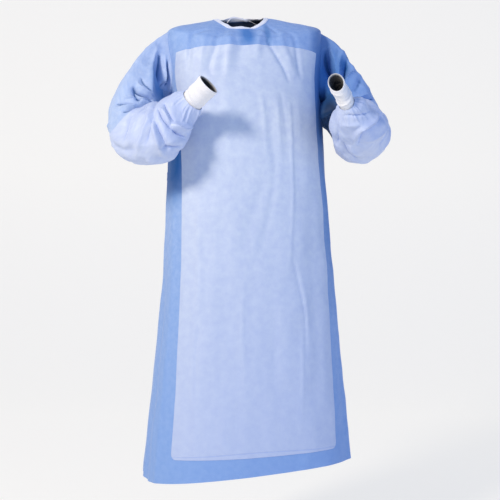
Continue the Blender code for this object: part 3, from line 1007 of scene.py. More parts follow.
def folded(tree: Tree, amount: float, start: float = 0.0) -> Socket:
    """How far down in a fold the surface lies, which sets where shade is painted.

    Args:
        tree: the material's tree.
        amount: what the deepest point counts as.
        start: 0 for the folds of both sides, or 1 for the inner side alone.

    Returns:
        A socket from 0 to the amount.
    """
    fold = add(tree, "ShaderNodeAttribute", {"attribute_name": "fold"}).outputs["Fac"]
    return ranged(tree, fold, start, start + 1.0, 0.0, amount)


def embossed(
    tree: Tree,
    height: Socket,
    depth_mm: float,
    under: Socket | None = None,
    sunk: bool = False,
) -> Socket:
    """A normal with a fine relief.

    Args:
        tree: the material's tree.
        height: the relief, from 0 to 1.
        depth_mm: how high a 1 stands.
        under: a normal that the relief comes on top of.
        sunk: whether a 1 is low and not high.

    Returns:
        The normal's socket.
    """
    settings = {"Strength": 1.0, "Distance": depth_mm * MM, "invert": sunk}
    links = {"Height": height} | ({"Normal": under} if under else {})
    return add(tree, "ShaderNodeBump", settings, links).outputs["Normal"]


@dataclass(frozen=True)
class PaintedShade:
    """A patch of painted shade: an ellipsoid in metres, its strength and its sRGB hex colour."""

    centre: tuple[float, float, float]
    radii: tuple[float, float, float]
    share: float
    colour: str

    def paint_shade(self, tree: Tree, colour: Socket) -> Socket:
        """Paints shade into a colour near the ellipsoid.

        Args:
            tree: the material's tree.
            colour: the cloth's own colour.

        Returns:
            The colour with the painted shade in it.
        """
        place = add(tree, "ShaderNodeTexCoord").outputs["Object"]
        gap = add(tree, "ShaderNodeVectorMath", {"operation": "SUBTRACT", 1: self.centre}, {0: place})
        radii = {"operation": "DIVIDE", 1: self.radii}
        share = add(tree, "ShaderNodeVectorMath", radii, {0: gap.outputs[0]})
        far = add(tree, "ShaderNodeVectorMath", {"operation": "LENGTH"}, {0: share.outputs[0]})
        fading = ranged(tree, far.outputs["Value"], 0.35, 1.1, self.share, 0.0)
        return blended(tree, fading, colour, self.colour)


@dataclass(frozen=True)
class SpunbondFinish:
    """Polypropylene spunbond with a meltblown core, calendered between heated rolls.

    The fibres give a matt, dry face with a cloudy density, because they are laid at random. The rolls
    weld them at small points, which are a little darker and glossier than the fibres between them.
    Ellipsoid patches of painted shade deepen the colour where shade falls round the arms, in the
    yoke's valley and towards the hem, and painted shade darkens the folds and the inner side.
    """

    name: str = "spunbond_polypropylene"
    fibre: str = "#9eb8e2"
    dense: str = "#8aa8da"
    weld: str = "#7298d2"
    # Patches of painted shade: towards the hem, down the yoke's valley, round both armpits, a dark sheet
    # between the body and the left forearm, and under the right arm.
    painted_shades: tuple[PaintedShade, ...] = (
        PaintedShade((0.02, 0.00, -1.30), (0.80, 0.80, 0.70), 0.6, "#7a9fda"),
        PaintedShade((0.001, -0.10, -0.062), (0.026, 0.2, 0.046), 0.85, "#3f77bc"),
        PaintedShade((0.056, -0.09, -0.052), (0.011, 0.1, 0.042), 0.55, "#2f6fae"),
        PaintedShade((0.230, -0.04, -0.22), (0.070, 0.16, 0.27), 0.98, "#165798"),
        PaintedShade((0.300, -0.05, -0.150), (0.130, 0.20, 0.200), 0.55, "#5289d0"),
        PaintedShade((0.229, -0.07, -0.262), (0.036, 0.14, 0.082), 1.0, "#14233c"),
        PaintedShade((0.222, -0.02, -0.52), (0.045, 0.16, 0.34), 0.55, "#2b6bb0"),
        PaintedShade((-0.190, -0.04, -0.39), (0.050, 0.15, 0.13), 0.95, "#1863a7"),
        PaintedShade((-0.209, -0.10, -0.219), (0.030, 0.10, 0.042), 1.0, "#175a94"),
        PaintedShade((-0.231, -0.08, -0.185), (0.021, 0.10, 0.070), 0.8, "#3576bb"),
        PaintedShade((0.282, -0.06, -0.118), (0.020, 0.10, 0.030), 0.8, "#2a69ab"),
    )
    # Painted shade in the folds.
    crease: str = "#1f5896"
    fold_shade_share: float = 0.4
    # Painted shade on the inner side.
    inside: str = "#1c2536"
    roughness: float = 0.56
    weld_roughness: float = 0.40
    weld_pitch_mm: tuple[float, float] = (3.6, 3.6)  # the real ones are about 2 mm apart, too fine to show
    cloud_mm: float = 16
    fibre_mm: float = 0.9

    def build(self) -> bpy.types.Material:
        """Makes the material."""
        sheen = {"Specular IOR Level": 0.15, "Sheen Weight": 0.05, "Sheen Roughness": 0.5}
        material, tree = start_material(self.name, sheen)
        welds = lattice(tree, self.weld_pitch_mm, 0.30, 0.75)
        density = ranged(tree, cloud(tree, self.cloud_mm, 5), 0.33, 0.68, 0.0, 1.0)
        colour = blended(tree, density, self.fibre, self.dense)
        colour = blended(tree, ranged(tree, welds, 0, 1, 0.0, 0.7), colour, self.weld)
        # Painted shade from the patches.
        for hollow in self.painted_shades:
            colour = hollow.paint_shade(tree, colour)
        # Painted shade in the folds, then on the inner side.
        colour = blended(tree, folded(tree, self.fold_shade_share), colour, self.crease)
        colour = blended(tree, folded(tree, 0.9, start=1.0), colour, self.inside)
        rough = ranged(tree, welds, 0, 1, self.roughness, self.weld_roughness)
        fuzz = embossed(tree, cloud(tree, self.fibre_mm, 2, stretch=5), 0.06)
        normal = embossed(tree, welds, 0.10, under=fuzz, sunk=True)
        feed(tree, {"Base Color": colour, "Roughness": rough, "Normal": normal})
        return material


@dataclass(frozen=True)
class LaminateFinish:
    """Spunbond with a breathable film melted on to it, which stops fluid.

    The film fills the gaps between the fibres, so the face is paler, smoother and slightly satiny.
    """

    name: str = "film_laminated_spunbond"
    face: str = "#c7d3ed"
    shadow: str = "#b9c6e8"
    # Painted shade, darker towards the hem.
    hollow: PaintedShade = PaintedShade((0.02, 0.00, -1.30), (0.80, 0.80, 0.85), 0.5, "#a3b4e0")
    seam: str = "#93abe2"
    # Painted shade in the folds.
    crease: str = "#7f9cdb"
    roughness: float = 0.52
    bond_line_mm: float = BOND_LINE_MM
    bond_half_mm: float = 1.3
    cloud_mm: float = 20
    grain_mm: float = 1.4

    def build(self, bonded: bool = False) -> bpy.types.Material:
        """Makes the material.

        Args:
            bonded: whether a bonded line runs along its lower edge.

        Returns:
            The material.
        """
        values = {"Roughness": self.roughness, "Specular IOR Level": 0.4, "Sheen Weight": 0.06}
        material, tree = start_material(self.name + ("_bonded" if bonded else ""), values)
        density = ranged(tree, cloud(tree, self.cloud_mm, 4), 0.3, 0.7, 0.0, 1.0)
        # Painted shade towards the hem and in the folds.
        colour = self.hollow.paint_shade(tree, blended(tree, density, self.face, self.shadow))
        colour = blended(tree, folded(tree, 0.5), colour, self.crease)
        normal = embossed(tree, cloud(tree, self.grain_mm, 2, stretch=3), 0.05)
        if bonded:
            height = add(tree, "ShaderNodeSeparateXYZ", {}, {0: on_cloth(tree, (1.0, 1.0))}).outputs[1]
            settings = {"operation": "COMPARE", 1: self.bond_line_mm * MM, 2: self.bond_half_mm * MM}
            line = add(tree, "ShaderNodeMath", settings, {0: height}).outputs[0]
            colour = blended(tree, ranged(tree, line, 0, 1, 0.0, 0.4), colour, self.seam)
            normal = embossed(tree, line, 0.15, under=normal, sunk=True)
        feed(tree, {"Base Color": colour, "Normal": normal})
        return material


@dataclass(frozen=True)
class RibKnitFinish:
    """Polyester rib knit. Its loops give a soft, matt white with small shadows between them."""

    name: str = "polyester_rib_knit"
    yarn: str = "#fbfafb"
    gap: str = "#dcdfe7"
    # Painted shade in the cuff's folds and on its inner side.
    back: str = "#3c424e"
    # Painted shade deep inside the cuff.
    inside: str = "#191c24"
    stitch_mm: tuple[float, float] = (1.6, 2.4)  # a real stitch is about 1 mm wide, too fine to show
    fuzz_mm: float = 0.8

    def build(self) -> bpy.types.Material:
        """Makes the material."""
        values = {"Roughness": 0.9, "Sheen Weight": 0.25, "Sheen Roughness": 0.4}
        material, tree = start_material(self.name, values)
        loops = lattice(tree, self.stitch_mm, -0.6, 0.6)
        colour = blended(tree, ranged(tree, loops, 0, 1, 0.0, 0.5), self.yarn, self.gap)
        # Painted shade in the folds, then inside the cuff.
        colour = blended(tree, folded(tree, 0.5), colour, self.back)
        colour = blended(tree, folded(tree, 0.97, start=1.0), colour, self.inside)
        fuzz = embossed(tree, cloud(tree, self.fuzz_mm, 2), 0.06)
        normal = embossed(tree, loops, 0.20, under=fuzz, sunk=True)
        feed(tree, {"Base Color": colour, "Normal": normal})
        return material


@dataclass(frozen=True)
class TapeFinish:
    """Non-woven tape, folded in half and pressed, so it is dense and even with a fine fibrous face."""

    name: str
    face: str
    shadow: str
    grain_mm: float = 1.3

    def build(self) -> bpy.types.Material:
        """Makes the material."""
        material, tree = start_material(self.name, {"Roughness": 0.8, "Sheen Weight": 0.1})
        grain = ranged(tree, cloud(tree, self.grain_mm, 3, stretch=2), 0.3, 0.7, 0.0, 1.0)
        colour = blended(tree, grain, self.face, self.shadow)
        feed(tree, {"Base Color": colour, "Normal": embossed(tree, grain, 0.08)})
        return material


@dataclass(frozen=True)
class Wardrobe:
    """The finished materials that the pieces share."""

    blue: bpy.types.Material
    # A lighter copy of the blue, painted light.
    blue_sleeve_lit: bpy.types.Material
    pale: bpy.types.Material
    pale_bonded: bpy.types.Material
    knit: bpy.types.Material
    white_tape: bpy.types.Material
    blue_tape: bpy.types.Material
    thread: bpy.types.Material


def make_wardrobe() -> Wardrobe:
    """Makes every material of the gown."""
    # The sleeves' blue is a lighter copy of the body's: painted light for the stronger light on the sleeves.
    # Their folds get more painted shade.
    sleeve_lit_shades = ("#bccdeb", "#a8bee4", "#98b2de")
    sleeve = SpunbondFinish("spunbond_polypropylene_sleeve_painted_light", *sleeve_lit_shades, fold_shade_share=0.85)
    return Wardrobe(
        blue=SpunbondFinish().build(),
        blue_sleeve_lit=sleeve.build(),
        pale=LaminateFinish().build(),
        pale_bonded=LaminateFinish("film_laminated_panel", "#c8d4e7", "#b9c6e1").build(bonded=True),
        knit=RibKnitFinish().build(),
        white_tape=TapeFinish("white_binding_tape", "#f1f2f7", "#e2e5ef").build(),
        blue_tape=TapeFinish("blue_tie_tape", "#85a9e4", "#769ddd").build(),
        thread=TapeFinish("sewing_thread", "#b4c8ea", "#9fb6de", grain_mm=0.4).build(),
    )


# ---------------------------------------------------------------- the body's pieces
BODY_CREASES = (
    # ---- from the neck and the shoulders
    Crease("neck_wave_right", ((3.0, -33), (2.75, -32), (2.45, -30)), 13, -4, ends=FAR),
    Crease("neck_wave_mid", ((3.0, -9), (2.75, -9), (2.50, -9)), 14, 1.5, ends=FAR),
    Crease("neck_wave_left", ((3.0, 15), (2.75, 15), (2.45, 13)), 12, -3.5, ends=FAR),
    Crease("neck_drag_high", ((2.90, 36), (2.55, 27), (2.15, 16)), 6, -3),
    Crease("neck_drag_left", ((1.97, 9), (1.84, 8), (1.65, 14), (1.47, 20), (1.24, 24)), 6, -5),
    Crease("neck_swell_left", ((2.50, 28), (1.90, 18), (1.60, 24), (1.36, 30)), 10, 4),
    Crease("yoke_trough_left", ((2.20, 26), (1.78, 30), (1.55, 33), (1.32, 36)), 7, -3),
    Crease("neck_hollow", ((1.90, -5), (1.76, -6), (1.42, -9)), 16, -6),
    Crease("yoke_swell_mid", ((2.80, 14), (2.20, 6), (1.80, 2), (1.60, 2)), 9, 5),
    Crease("yoke_ridge_right", ((2.70, -16), (2.00, -13), (1.60, -15), (1.25, -18)), 10, 4),
    Crease("neck_drag_right", ((2.80, -26), (2.20, -22), (1.80, -24), (1.52, -30), (1.32, -28)), 8, -4.5),
    Crease("yoke_swell_right", ((2.30, -34), (1.90, -33), (1.60, -37), (1.36, -39)), 9, 3),
    Crease("armhole_drag_right", ((2.40, -38), (2.10, -42), (1.80, -46), (1.45, -52)), 8, -5),
    # ---- down the front
    Crease("bib_ridge_a", ((1.10, 2), (0.96, 4), (0.84, 6)), 6, 2.2, CRISP),
    Crease("bib_trough_a", ((1.05, 6), (0.91, 9), (0.81, 10), (0.64, 2), (0.54, -4)), 10, -2.2),
    Crease("bib_ridge_b", ((1.06, 12), (0.94, 14), (0.84, 16)), 6, 2.2, CRISP),
    Crease("bib_trough_b", ((1.12, 16), (0.98, 18), (0.88, 21)), 7, -1.8),
    Crease("long_ridge", ((1.02, 23), (0.90, 24), (0.74, 22), (0.54, 15)), 6, 2.6, CRISP),
    Crease("waist_trough", ((0.82, 5), (0.72, -1), (0.58, -11)), 17, -3),
    Crease("centre_line", ((0.53, -8), (0.41, -9), (0.25, -7)), 4, 1.6, CRISP),
    Crease("left_line", ((0.60, 18), (0.50, 23), (0.42, 26), (0.32, 25)), 5, -2.2, CRISP),
    Crease("left_line_swell", ((0.58, 22), (0.46, 27), (0.36, 28)), 8, 1.5),
    Crease("lower_left_line", ((0.38, 23), (0.30, 22), (0.15, 20)), 5, 1.6, CRISP),
    Crease("lower_trough", ((0.50, 5), (0.38, 6), (0.22, 5)), 13, -2),
    Crease("right_long_ridge", ((0.76, -40), (0.60, -39), (0.40, -36)), 9, 2),
    Crease("right_line", ((0.42, -36), (0.34, -38), (0.20, -36)), 6, -2),
    Crease("front_swell_left", ((0.80, 40), (0.50, 36), (0.15, 32)), 24, -3),
    Crease("front_swell_right", ((0.70, -22), (0.40, -20), (0.10, -19)), 26, -3),
    # ---- down the sides
    Crease("side_trough_left", ((0.0, 84), (0.95, 80)), 26, -10, ends=FAR),
    Crease("armpit_swell_left", ((0.62, 76), (0.90, 82), (1.12, 84)), 34, 9),
    Crease("side_ridge_left", ((0.0, 68), (0.60, 70), (0.90, 66)), 14, 6, ends=FAR),
    Crease("side_trough_right", ((0.0, -86), (0.85, -84)), 22, -7, ends=FAR),
    Crease("side_ridge_right", ((0.0, -66), (0.50, -68), (0.80, -70)), 12, 3, ends=FAR),
    # ---- down the back
    Crease("back_trough_left", ((0.0, 128), (0.50, 134), (0.95, 138)), 26, -22, ends=FAR),
    Crease("back_trough_right", ((0.0, -134), (0.50, -138), (0.95, -144)), 24, -20, ends=FAR),
    Crease("back_ridge_left", ((0.0, 108), (0.45, 114), (0.90, 116)), 20, 13, ends=FAR),
    Crease("back_ridge_right", ((0.0, -112), (0.45, -114), (0.90, -120)), 20, 12, ends=FAR),
    Crease("back_flute_left", ((0.0, 156), (0.40, 152), (0.74, 148)), 20, -14, ends=FAR),
    Crease("back_swell_left", ((0.0, 142), (0.40, 143), (0.80, 146)), 16, 12, ends=FAR),
    Crease("back_flute_right", ((0.0, -152), (0.30, -156), (0.66, -150)), 18, -12, ends=FAR),
    Crease("back_swell_mid", ((0.0, 172), (0.35, 176), (0.70, 170)), 24, 9, ends=FAR),
    Crease("back_line_left", ((0.76, 150), (0.58, 146), (0.36, 150)), 6, -6, CRISP),
    Crease("back_line_right", ((0.77, -154), (0.54, -158), (0.30, -160)), 6, 6, CRISP),
    Crease("tie_gather_left", ((0.84, 140), (1.00, 146), (1.24, 150)), 9, -9, CRISP),
    Crease("tie_gather_right", ((0.84, -142), (1.02, -146), (1.20, -152)), 8, -8, CRISP),
    Crease("tie_gather_low", ((0.79, 132), (0.66, 136), (0.48, 134)), 8, 8, CRISP),
    Crease("tie_drag_left", ((0.83, 122), (0.98, 130), (1.15, 134)), 8, -6, CRISP),
    Crease("tie_drag_right", ((0.83, -120), (0.98, -128), (1.15, -130)), 8, -6, CRISP),
    Crease("tie_drag_left_low", ((0.78, 118), (0.66, 124), (0.52, 126)), 9, -6, CRISP),
    Crease("tie_drag_right_low", ((0.78, -116), (0.64, -122), (0.50, -126)), 9, -6, CRISP),
    Crease("blade_drag_left", ((1.02, 126), (1.45, 136), (1.90, 142)), 14, -13),
    Crease("blade_drag_right", ((1.02, -128), (1.45, -138), (1.90, -144)), 14, -12),
    Crease("blade_swell_left", ((1.10, 148), (1.50, 152), (1.90, 154)), 14, 8),
    Crease("blade_swell_right", ((1.10, -152), (1.50, -156), (1.90, -160)), 14, 7),
    Crease("nape_drag_left", ((2.80, 158), (2.20, 148), (1.90, 140)), 8, -5),
    Crease("nape_drag_right", ((2.80, -156), (2.20, -150), (1.90, -140)), 8, -5),
)


@dataclass
class Body:
    """The front, the two back panels and what is bonded or sewn on to them."""

    form: BodyForm
    wardrobe: Wardrobe
    cloth: float = 0.0007
    laminate: float = 0.0008
    laminate_stands: float = 0.0004  # what its face stands off the front, besides its own thickness
    laid_gap: float = 0.0001  # what the inner side of a layer that is laid on keeps from the cloth below
    lap_deg: float = 17  # how far each back panel passes the centre back
    lap_inside: float = 0.0048  # how far the under panel lies inside the over one
    lap_starts_deg: float = 151
    rows: tuple[int, int, int] = (206, 44, 34)  # to the underarm, to the shoulder and to the neck
    front_columns: int = 140
    back_columns: int = 78
    calm: float = 0.035  # the creases die out this far from an armhole
    side_radius: float = 0.16  # turns degrees beside an armhole into metres
    seam_depth: float = 0.0009
    panel_low: float = 0.06
    panel_high: float = 1.790
    panel_bow: float = 0.058  # how far its upper edge drops at the sides
    panel_corner: float = 0.017
    panel_foot: float = 0.020
    panel_rows: tuple[int, int] = (18, 212)  # in its foot and above it
    panel_columns: int = 112
    panel_radius: float = 0.24  # turns degrees at its lower corners into metres
    panel_edges: tuple[tuple[float, float, float], ...] = (  # station, degrees to the right and to the left
        (0.00, -51, 46),
        (0.50, -56, 53),
        (0.80, -58, 57),
        (1.00, -64, 57),
        (1.22, -69, 57),
        (1.50, -70, 56),
        (1.86, -64, 56),
        (3.00, -60, 56),
    )
    station_length: float = 0.96  # metres of the front's cloth for each station below the underarm
    bond_depth: float = 0.0003
    bond_half: float = 0.0015
    binding_height: float = 0.0108
    binding_below: float = 0.0022
    binding_stands: float = 0.0013
    binding_columns: int = 460
    binding_wave_deg: float = 17  # how far apart its soft bends are
    # How far up the binding each row of its points lies, and what share of its full thickness it has there.
    binding_profile: tuple[tuple[float, float], ...] = (
        (0.00, 0.75),
        (0.06, 1.0),
        (0.30, 1.0),
        (0.55, 0.95),
        (0.80, 0.85),
        (0.93, 0.6),
        (1.0, 0.2),
    )
    stitch_pitch: float = 0.0036
    stitch_off: float = 0.0006  # how far the row of stitches lies above its line
    thread_half: tuple[float, float] = (0.00032, 0.00030)  # across the row and out of the cloth
    # How many degrees past the right back's edge a strip leaves it, and reaches the left back.
    strip_lands: tuple[float, float] = (0.3, 11)
    tie_stations: tuple[float, float] = (0.800, 0.823)
    tie_deg: float = 102.2
    tie_sag: float = 0.0016  # stations
    tie_grid: tuple[int, int] = (12, 300)
    tie_thick: float = 0.0012
    tie_thinnest: float = 0.0008
    tie_hem: float = 0.0004  # what the folded hem adds along both edges
    tab_stations: tuple[float, float] = (2.52, 2.98)
    tab_deg: tuple[float, float] = (174.3, 151)
    tab_grid: tuple[int, int] = (18, 60)
    tab_thick: float = 0.0010
    tab_hem: float = 0.0005

    def surface(self, stations: np.ndarray, degrees: np.ndarray) -> tuple[np.ndarray, np.ndarray]:
        """The creased outer side of the body.

        Args:
            stations: each point's station.
            degrees: each point's place round the body.

        Returns:
            Points on the creased cloth, and unit normals of the form below it.
        """
        points, normals = self.form.point(stations, degrees), self.form.normal(stations, degrees)
        height = sum(crease.heights(points, normals, self.form) for crease in BODY_CREASES)
        # Wide soft dents, small ones drawn out down the cloth, and sharp ones where it was packed flat.
        height += crumple(points, 110, 2.6, 3.0) + crumple(points * [1.0, 1.0, 0.25], 30, 1.2, 11.0)
        height += crumple(points, 85, 2.0, 23.0, sharp=True)
        # Beside an armhole the cloth is held by the seam, so it lies smooth.
        front = np.cos(np.radians(degrees)) > 0
        widest = np.where(front, -self.form.armhole(stations, False), self.form.armhole(stations, True))
        from_edge = np.abs(np.abs(degrees) - 90 - widest) * math.radians(1) * self.side_radius
        above_underarm = ramp(stations, UNDERARM - 0.1, UNDERARM)
        beside_sleeve = above_underarm * (1 - ramp(stations, SHOULDER, SHOULDER + 0.15))
        height *= 1 - beside_sleeve * (1 - ramp(from_edge, 0, self.calm))
        return points + normals * height[..., None], normals

    def lap_inset(self, degrees: np.ndarray) -> np.ndarray:
        """How far inside the form the under back panel lies."""
        return self.lap_inside * ramp(degrees, self.lap_starts_deg, 180 - self.lap_deg)

    def stations(self) -> np.ndarray:
        """The stations of the panels' rows, from hem to neckline."""
        lows, counts = (0, 1, 2), self.rows
        stretches = [np.linspace(low, low + 1, count + 1)[1:] for low, count in zip(lows, counts)]
        return np.concatenate([[0.0], *stretches])

    def laid_on(self, name: str, base: np.ndarray, height: np.ndarray) -> bpy.types.Object:
        """Makes a layer that lies on the cloth.

        Args:
            name: the piece's name.
            base: points on the cloth below it.
            height: how far its face stands off each of them, in metres.

        Returns:
            The new object.
        """
        normals = grid_normals(base, around=False)
        return make_shell(name, base + normals * height[..., None], base + normals * self.laid_gap)

    def panel(self, name: str, start: Degrees, end: Degrees, columns: int, cut: Cut) -> None:
        """Builds one panel of the body.

        Args:
            name: its solid.
            start: degrees of its edge at the side seam, at an array of stations.
            end: degrees of its other edge.
            columns: how many points it has across.
            cut: its flat sheet.
        """
        stations = self.stations()[:, None] * np.ones(columns)
        across = np.linspace(0, 1, columns)
        degrees = start(stations) * (1 - across) + end(stations) * across
        outer, normals = self.surface(stations, degrees)
        if name == "left_back":
            outer -= normals * self.lap_inset(degrees)[..., None]
        armhole = ramp(stations, UNDERARM - 0.03, UNDERARM)
        seamed = 1 - armhole * (1 - ramp(stations, SHOULDER, SHOULDER + 0.03))
        at_seam = np.isclose(np.abs(degrees), 90) * seamed
        outer -= normals * (at_seam * self.seam_depth)[..., None]
        piece = make_shell(f"{name}_cloth", outer, outer - grid_normals(outer, around=False) * self.cloth)
        dress(piece, name, self.wardrobe.blue, cut)

    def build_panels(self) -> None:
        """Builds the front and the two back panels."""
        form, lap = self.form, 180 + self.lap_deg
        self.panel(
            "front",
            lambda s: form.armhole(s, False) - 90,
            lambda s: 90 - form.armhole(s, False),
            self.front_columns,
            Cut(0.76, 1.25, 0.76, Hold.HUNG, ("left_back", "right_back")),
        )
        self.panel(
            "left_back",
            lambda s: 90 + form.armhole(s, True),
            lambda s: lap + 0 * s,
            self.back_columns,
            Cut(0.46, 1.25, 0.46, Hold.HUNG, ("front", "neck_binding")),
        )
        self.panel(
            "right_back",
            lambda s: -90 - form.armhole(s, True),
            lambda s: -lap + 0 * s,
            self.back_columns,
            Cut(0.46, 1.25, 0.46, Hold.HUNG, ("front", "left_back")),
        )

    def build_reinforcement(self) -> None:
        """Builds the layer that is bonded on to the front, with its lower corners rounded."""
        at, right_edge, left_edge = zip(*self.panel_edges)
        low_rows, high_rows = self.panel_rows
        knee = self.panel_low + self.panel_foot / self.station_length
        foot = np.linspace(self.panel_low, knee, low_rows, endpoint=False)
        stations = np.concatenate([foot, np.linspace(knee, self.panel_high, high_rows)])
        height = (stations - self.panel_low) * self.station_length
        inside = self.panel_corner - np.minimum(height, self.panel_corner)
        drawn_in = self.panel_corner - np.sqrt(np.maximum(self.panel_corner**2 - inside**2, 0))
        corner = np.degrees(drawn_in / self.panel_radius)
        across = np.linspace(0, 1, self.panel_columns)
        right = (Curve(at, right_edge)(stations) + corner)[:, None]
        left = (Curve(at, left_edge)(stations) - corner)[:, None]
        degrees = right * (1 - across) + left * across
        bow = self.panel_bow * (2 * across - 1) ** 2
        stations = stations[:, None] - bow * ramp(stations, UNDERARM, self.panel_high)[:, None]
        base, _ = self.surface(stations, degrees)
        row = np.arange(len(base))[:, None]
        column = np.minimum(across, 1 - across)[None, :] * self.panel_columns / 2
        edge = np.minimum(column, np.minimum(row, len(base) - 1 - row))
        thick = self.laminate * (0.5 + 0.5 * ramp(edge, 0, 2.0))
        line = np.abs(height - BOND_LINE_MM * MM)[:, None] / self.bond_half
        thick = thick - self.bond_depth * np.exp(-(line**2))
        piece = self.laid_on("front_reinforcement_cloth", base, self.laminate_stands + thick)
        cut = Cut(0.47, 1.14, 0.46, Hold.LAID, ("front",))
        dress(piece, "front_reinforcement", self.wardrobe.pale_bonded, cut)

    def neckline(self, degrees: np.ndarray) -> tuple[np.ndarray, np.ndarray, np.ndarray]:
        """The neckline's edge.

        Args:
            degrees: places round the neck, from the right back's edge round the front to the left back's.

        Returns:
            Points, unit directions up the cloth and unit normals out of it.
        """
        stations = np.stack([np.full_like(degrees, s) for s in (NECKLINE - 0.04, NECKLINE)])
        both = np.stack([degrees, degrees])
        points, normals = self.surface(stations, both)
        points = points - normals * self.lap_inset(both)[..., None]
        return points[1], unit(points[1] - points[0]), normals[1]

    def build_binding(self) -> None:
        """Builds the folded tape round the neckline, and its stitches."""
        end = 180 + self.lap_deg
        degrees = np.linspace(-end, end, self.binding_columns)
        edge, up, out = self.neckline(degrees)
        turns = degrees / self.binding_wave_deg
        wave = np.stack([turns, np.zeros_like(turns), np.zeros_like(turns)], axis=-1)
        lean = crumple(wave, 1000, 1.6, 5.0) + crumple(wave, 400, 0.5, 9.0)
        rise = crumple(wave, 1000, 1.2, 15.0)
        height = self.binding_height + rise
        sides = []
        for side, stands in ((1, self.binding_stands), (-1, self.binding_stands + self.cloth)):
            rows = []
            for share, width in self.binding_profile:
                at = -self.binding_below + share * (height + self.binding_below)
                off = side * stands * width + lean * share
                rows.append(edge + up * at[:, None] + out * off[:, None])
            sides.append(np.array(rows))
        piece = make_shell("neck_binding_tape", *sides)
        cut = Cut(0.50, 0.012, 0.006, Hold.FOLDED, ("front", "left_back", "right_back"))
        dress(piece, "neck_binding", self.wardrobe.white_tape, cut)
        self.build_stitches("neck_binding_stitches", sides[0][1], sides[0][2], out)

    def build_stitches(self, name: str, low: np.ndarray, high: np.ndarray, out: np.ndarray) -> None:
        """Builds a row of machine stitches along two lines of points.

        Args:
            name: the piece's name.
            low: the line that the stitches sit on.
            high: a line beside it, which gives their width's direction.
            out: normals out of the cloth.
        """
        length = travelled(low[None], 1)[0]
        pitch, (half_across, half_out) = self.stitch_pitch, self.thread_half
        starts = np.arange(pitch, length[-1] - pitch, pitch)
        points, faces = [], []
        turns = np.linspace(0, 2 * math.pi, 6, endpoint=False)

        def between(line: np.ndarray, at: float) -> np.ndarray:
            """A point of one of the lines, a distance along the lower one."""
            return np.array([np.interp(at, length, line[:, k]) for k in range(3)])

        for start in starts:
            first = len(points)
            # A stitch has six points round each of five rings, thin at both ends, and two quads on each end.
            for share, size in ((0.10, 0.25), (0.22, 1.0), (0.50, 1.2), (0.78, 1.0), (0.90, 0.25)):
                at = start + share * pitch * 0.9
                here, beside, away = (between(line, at) for line in (low, high, out))
                side = unit(beside - here)
                for turn in turns:
                    rim = side * math.cos(turn) * half_across * size + away * math.sin(turn) * half_out * size
                    points.append(here + side * self.stitch_off + rim)
            for ring in range(4):
                for k in range(6):
                    a, b = first + ring * 6 + k, first + ring * 6 + (k + 1) % 6
                    faces.append((a, b, b + 6, a + 6))
            near, far = first, first + 24
            faces += [(near + 3, near + 2, near + 1, near), (near, near + 5, near + 4, near + 3)]
            faces += [(far, far + 1, far + 2, far + 3), (far + 3, far + 4, far + 5, far)]
        faces = np.array(faces)
        cloth = np.array(points)[faces][..., :2]
        piece = make_object(name, np.array(points), faces, cloth, np.zeros(len(points)))
        piece.data.materials.append(self.wardrobe.thread)
        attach(piece, "root")
        log.info("%s: %d stitches", name, len(starts))

    def over_the_lap(self, stations: np.ndarray, degrees: np.ndarray) -> np.ndarray:
        """Points of a strip that runs over the right back's free edge and on to the left back.

        Args:
            stations: each point's station.
            degrees: each column's place, counted on through the centre back from the right side.

        Returns:
            Points on the cloth below the strip.
        """
        degrees = degrees * np.ones_like(stations)
        points, normals = self.surface(stations, -degrees)
        inset = self.lap_inside * ramp(degrees - (180 + self.lap_deg), *self.strip_lands)
        return points - normals * inset[..., None]

    def build_tie(self) -> None:
        """Builds the flat waist tie across the back, from one side to the other."""
        count, columns = self.tie_grid
        degrees = np.linspace(self.tie_deg, 360 - self.tie_deg, columns)
        low, high = self.tie_stations
        rows = np.linspace(0, 1, count)[:, None]
        across = np.linspace(0, 1, columns)
        sag = self.tie_sag * np.sin(3 * math.pi * across) * np.sin(math.pi * across)
        base = self.over_the_lap(low + (high - low) * rows + sag, degrees)
        hem = self.tie_hem * sum(np.exp(-((rows - at) ** 2) / 0.004) for at in (0.12, 0.88))
        thick = self.tie_thick + hem + crumple(base, 22, 0.8, 31.0) * np.sin(math.pi * across) ** 0.3
        piece = self.laid_on("waist_tie_tape", base, np.maximum(thick, self.tie_thinnest))
        cut = Cut(0.47, 0.023, 0.0108, Hold.LAID, ("left_back", "right_back"))
        dress(piece, "waist_tie", self.wardrobe.blue_tape, cut)

    def build_tab(self) -> None:
        """Builds the tab that closes the neck at the back."""
        count, columns = self.tab_grid
        degrees = np.linspace(self.tab_deg[0], 360 - self.tab_deg[1], columns)
        low, high = self.tab_stations
        rows = np.linspace(0, 1, count)[:, None]
        across = np.linspace(0, 1, columns)
        base = self.over_the_lap((low + (high - low) * rows) * np.ones(columns), degrees)
        edge = np.minimum(np.minimum(across, 1 - across) * columns, np.minimum(rows, 1 - rows) * count)
        thick = self.tab_thick + self.tab_hem * np.exp(-((edge - 1.5) ** 2) / 1.2)
        piece = self.laid_on("neck_closure_tab_tape", base, thick)
        cut = Cut(0.06, 0.03, 0.0015, Hold.LAID, ("left_back", "right_back"))
        dress(piece, "neck_closure_tab", self.wardrobe.white_tape, cut)

    def build(self) -> None:
        """Builds every piece of the body."""
        self.build_panels()
        self.build_reinforcement()
        self.build_binding()
        self.build_tie()
        self.build_tab()


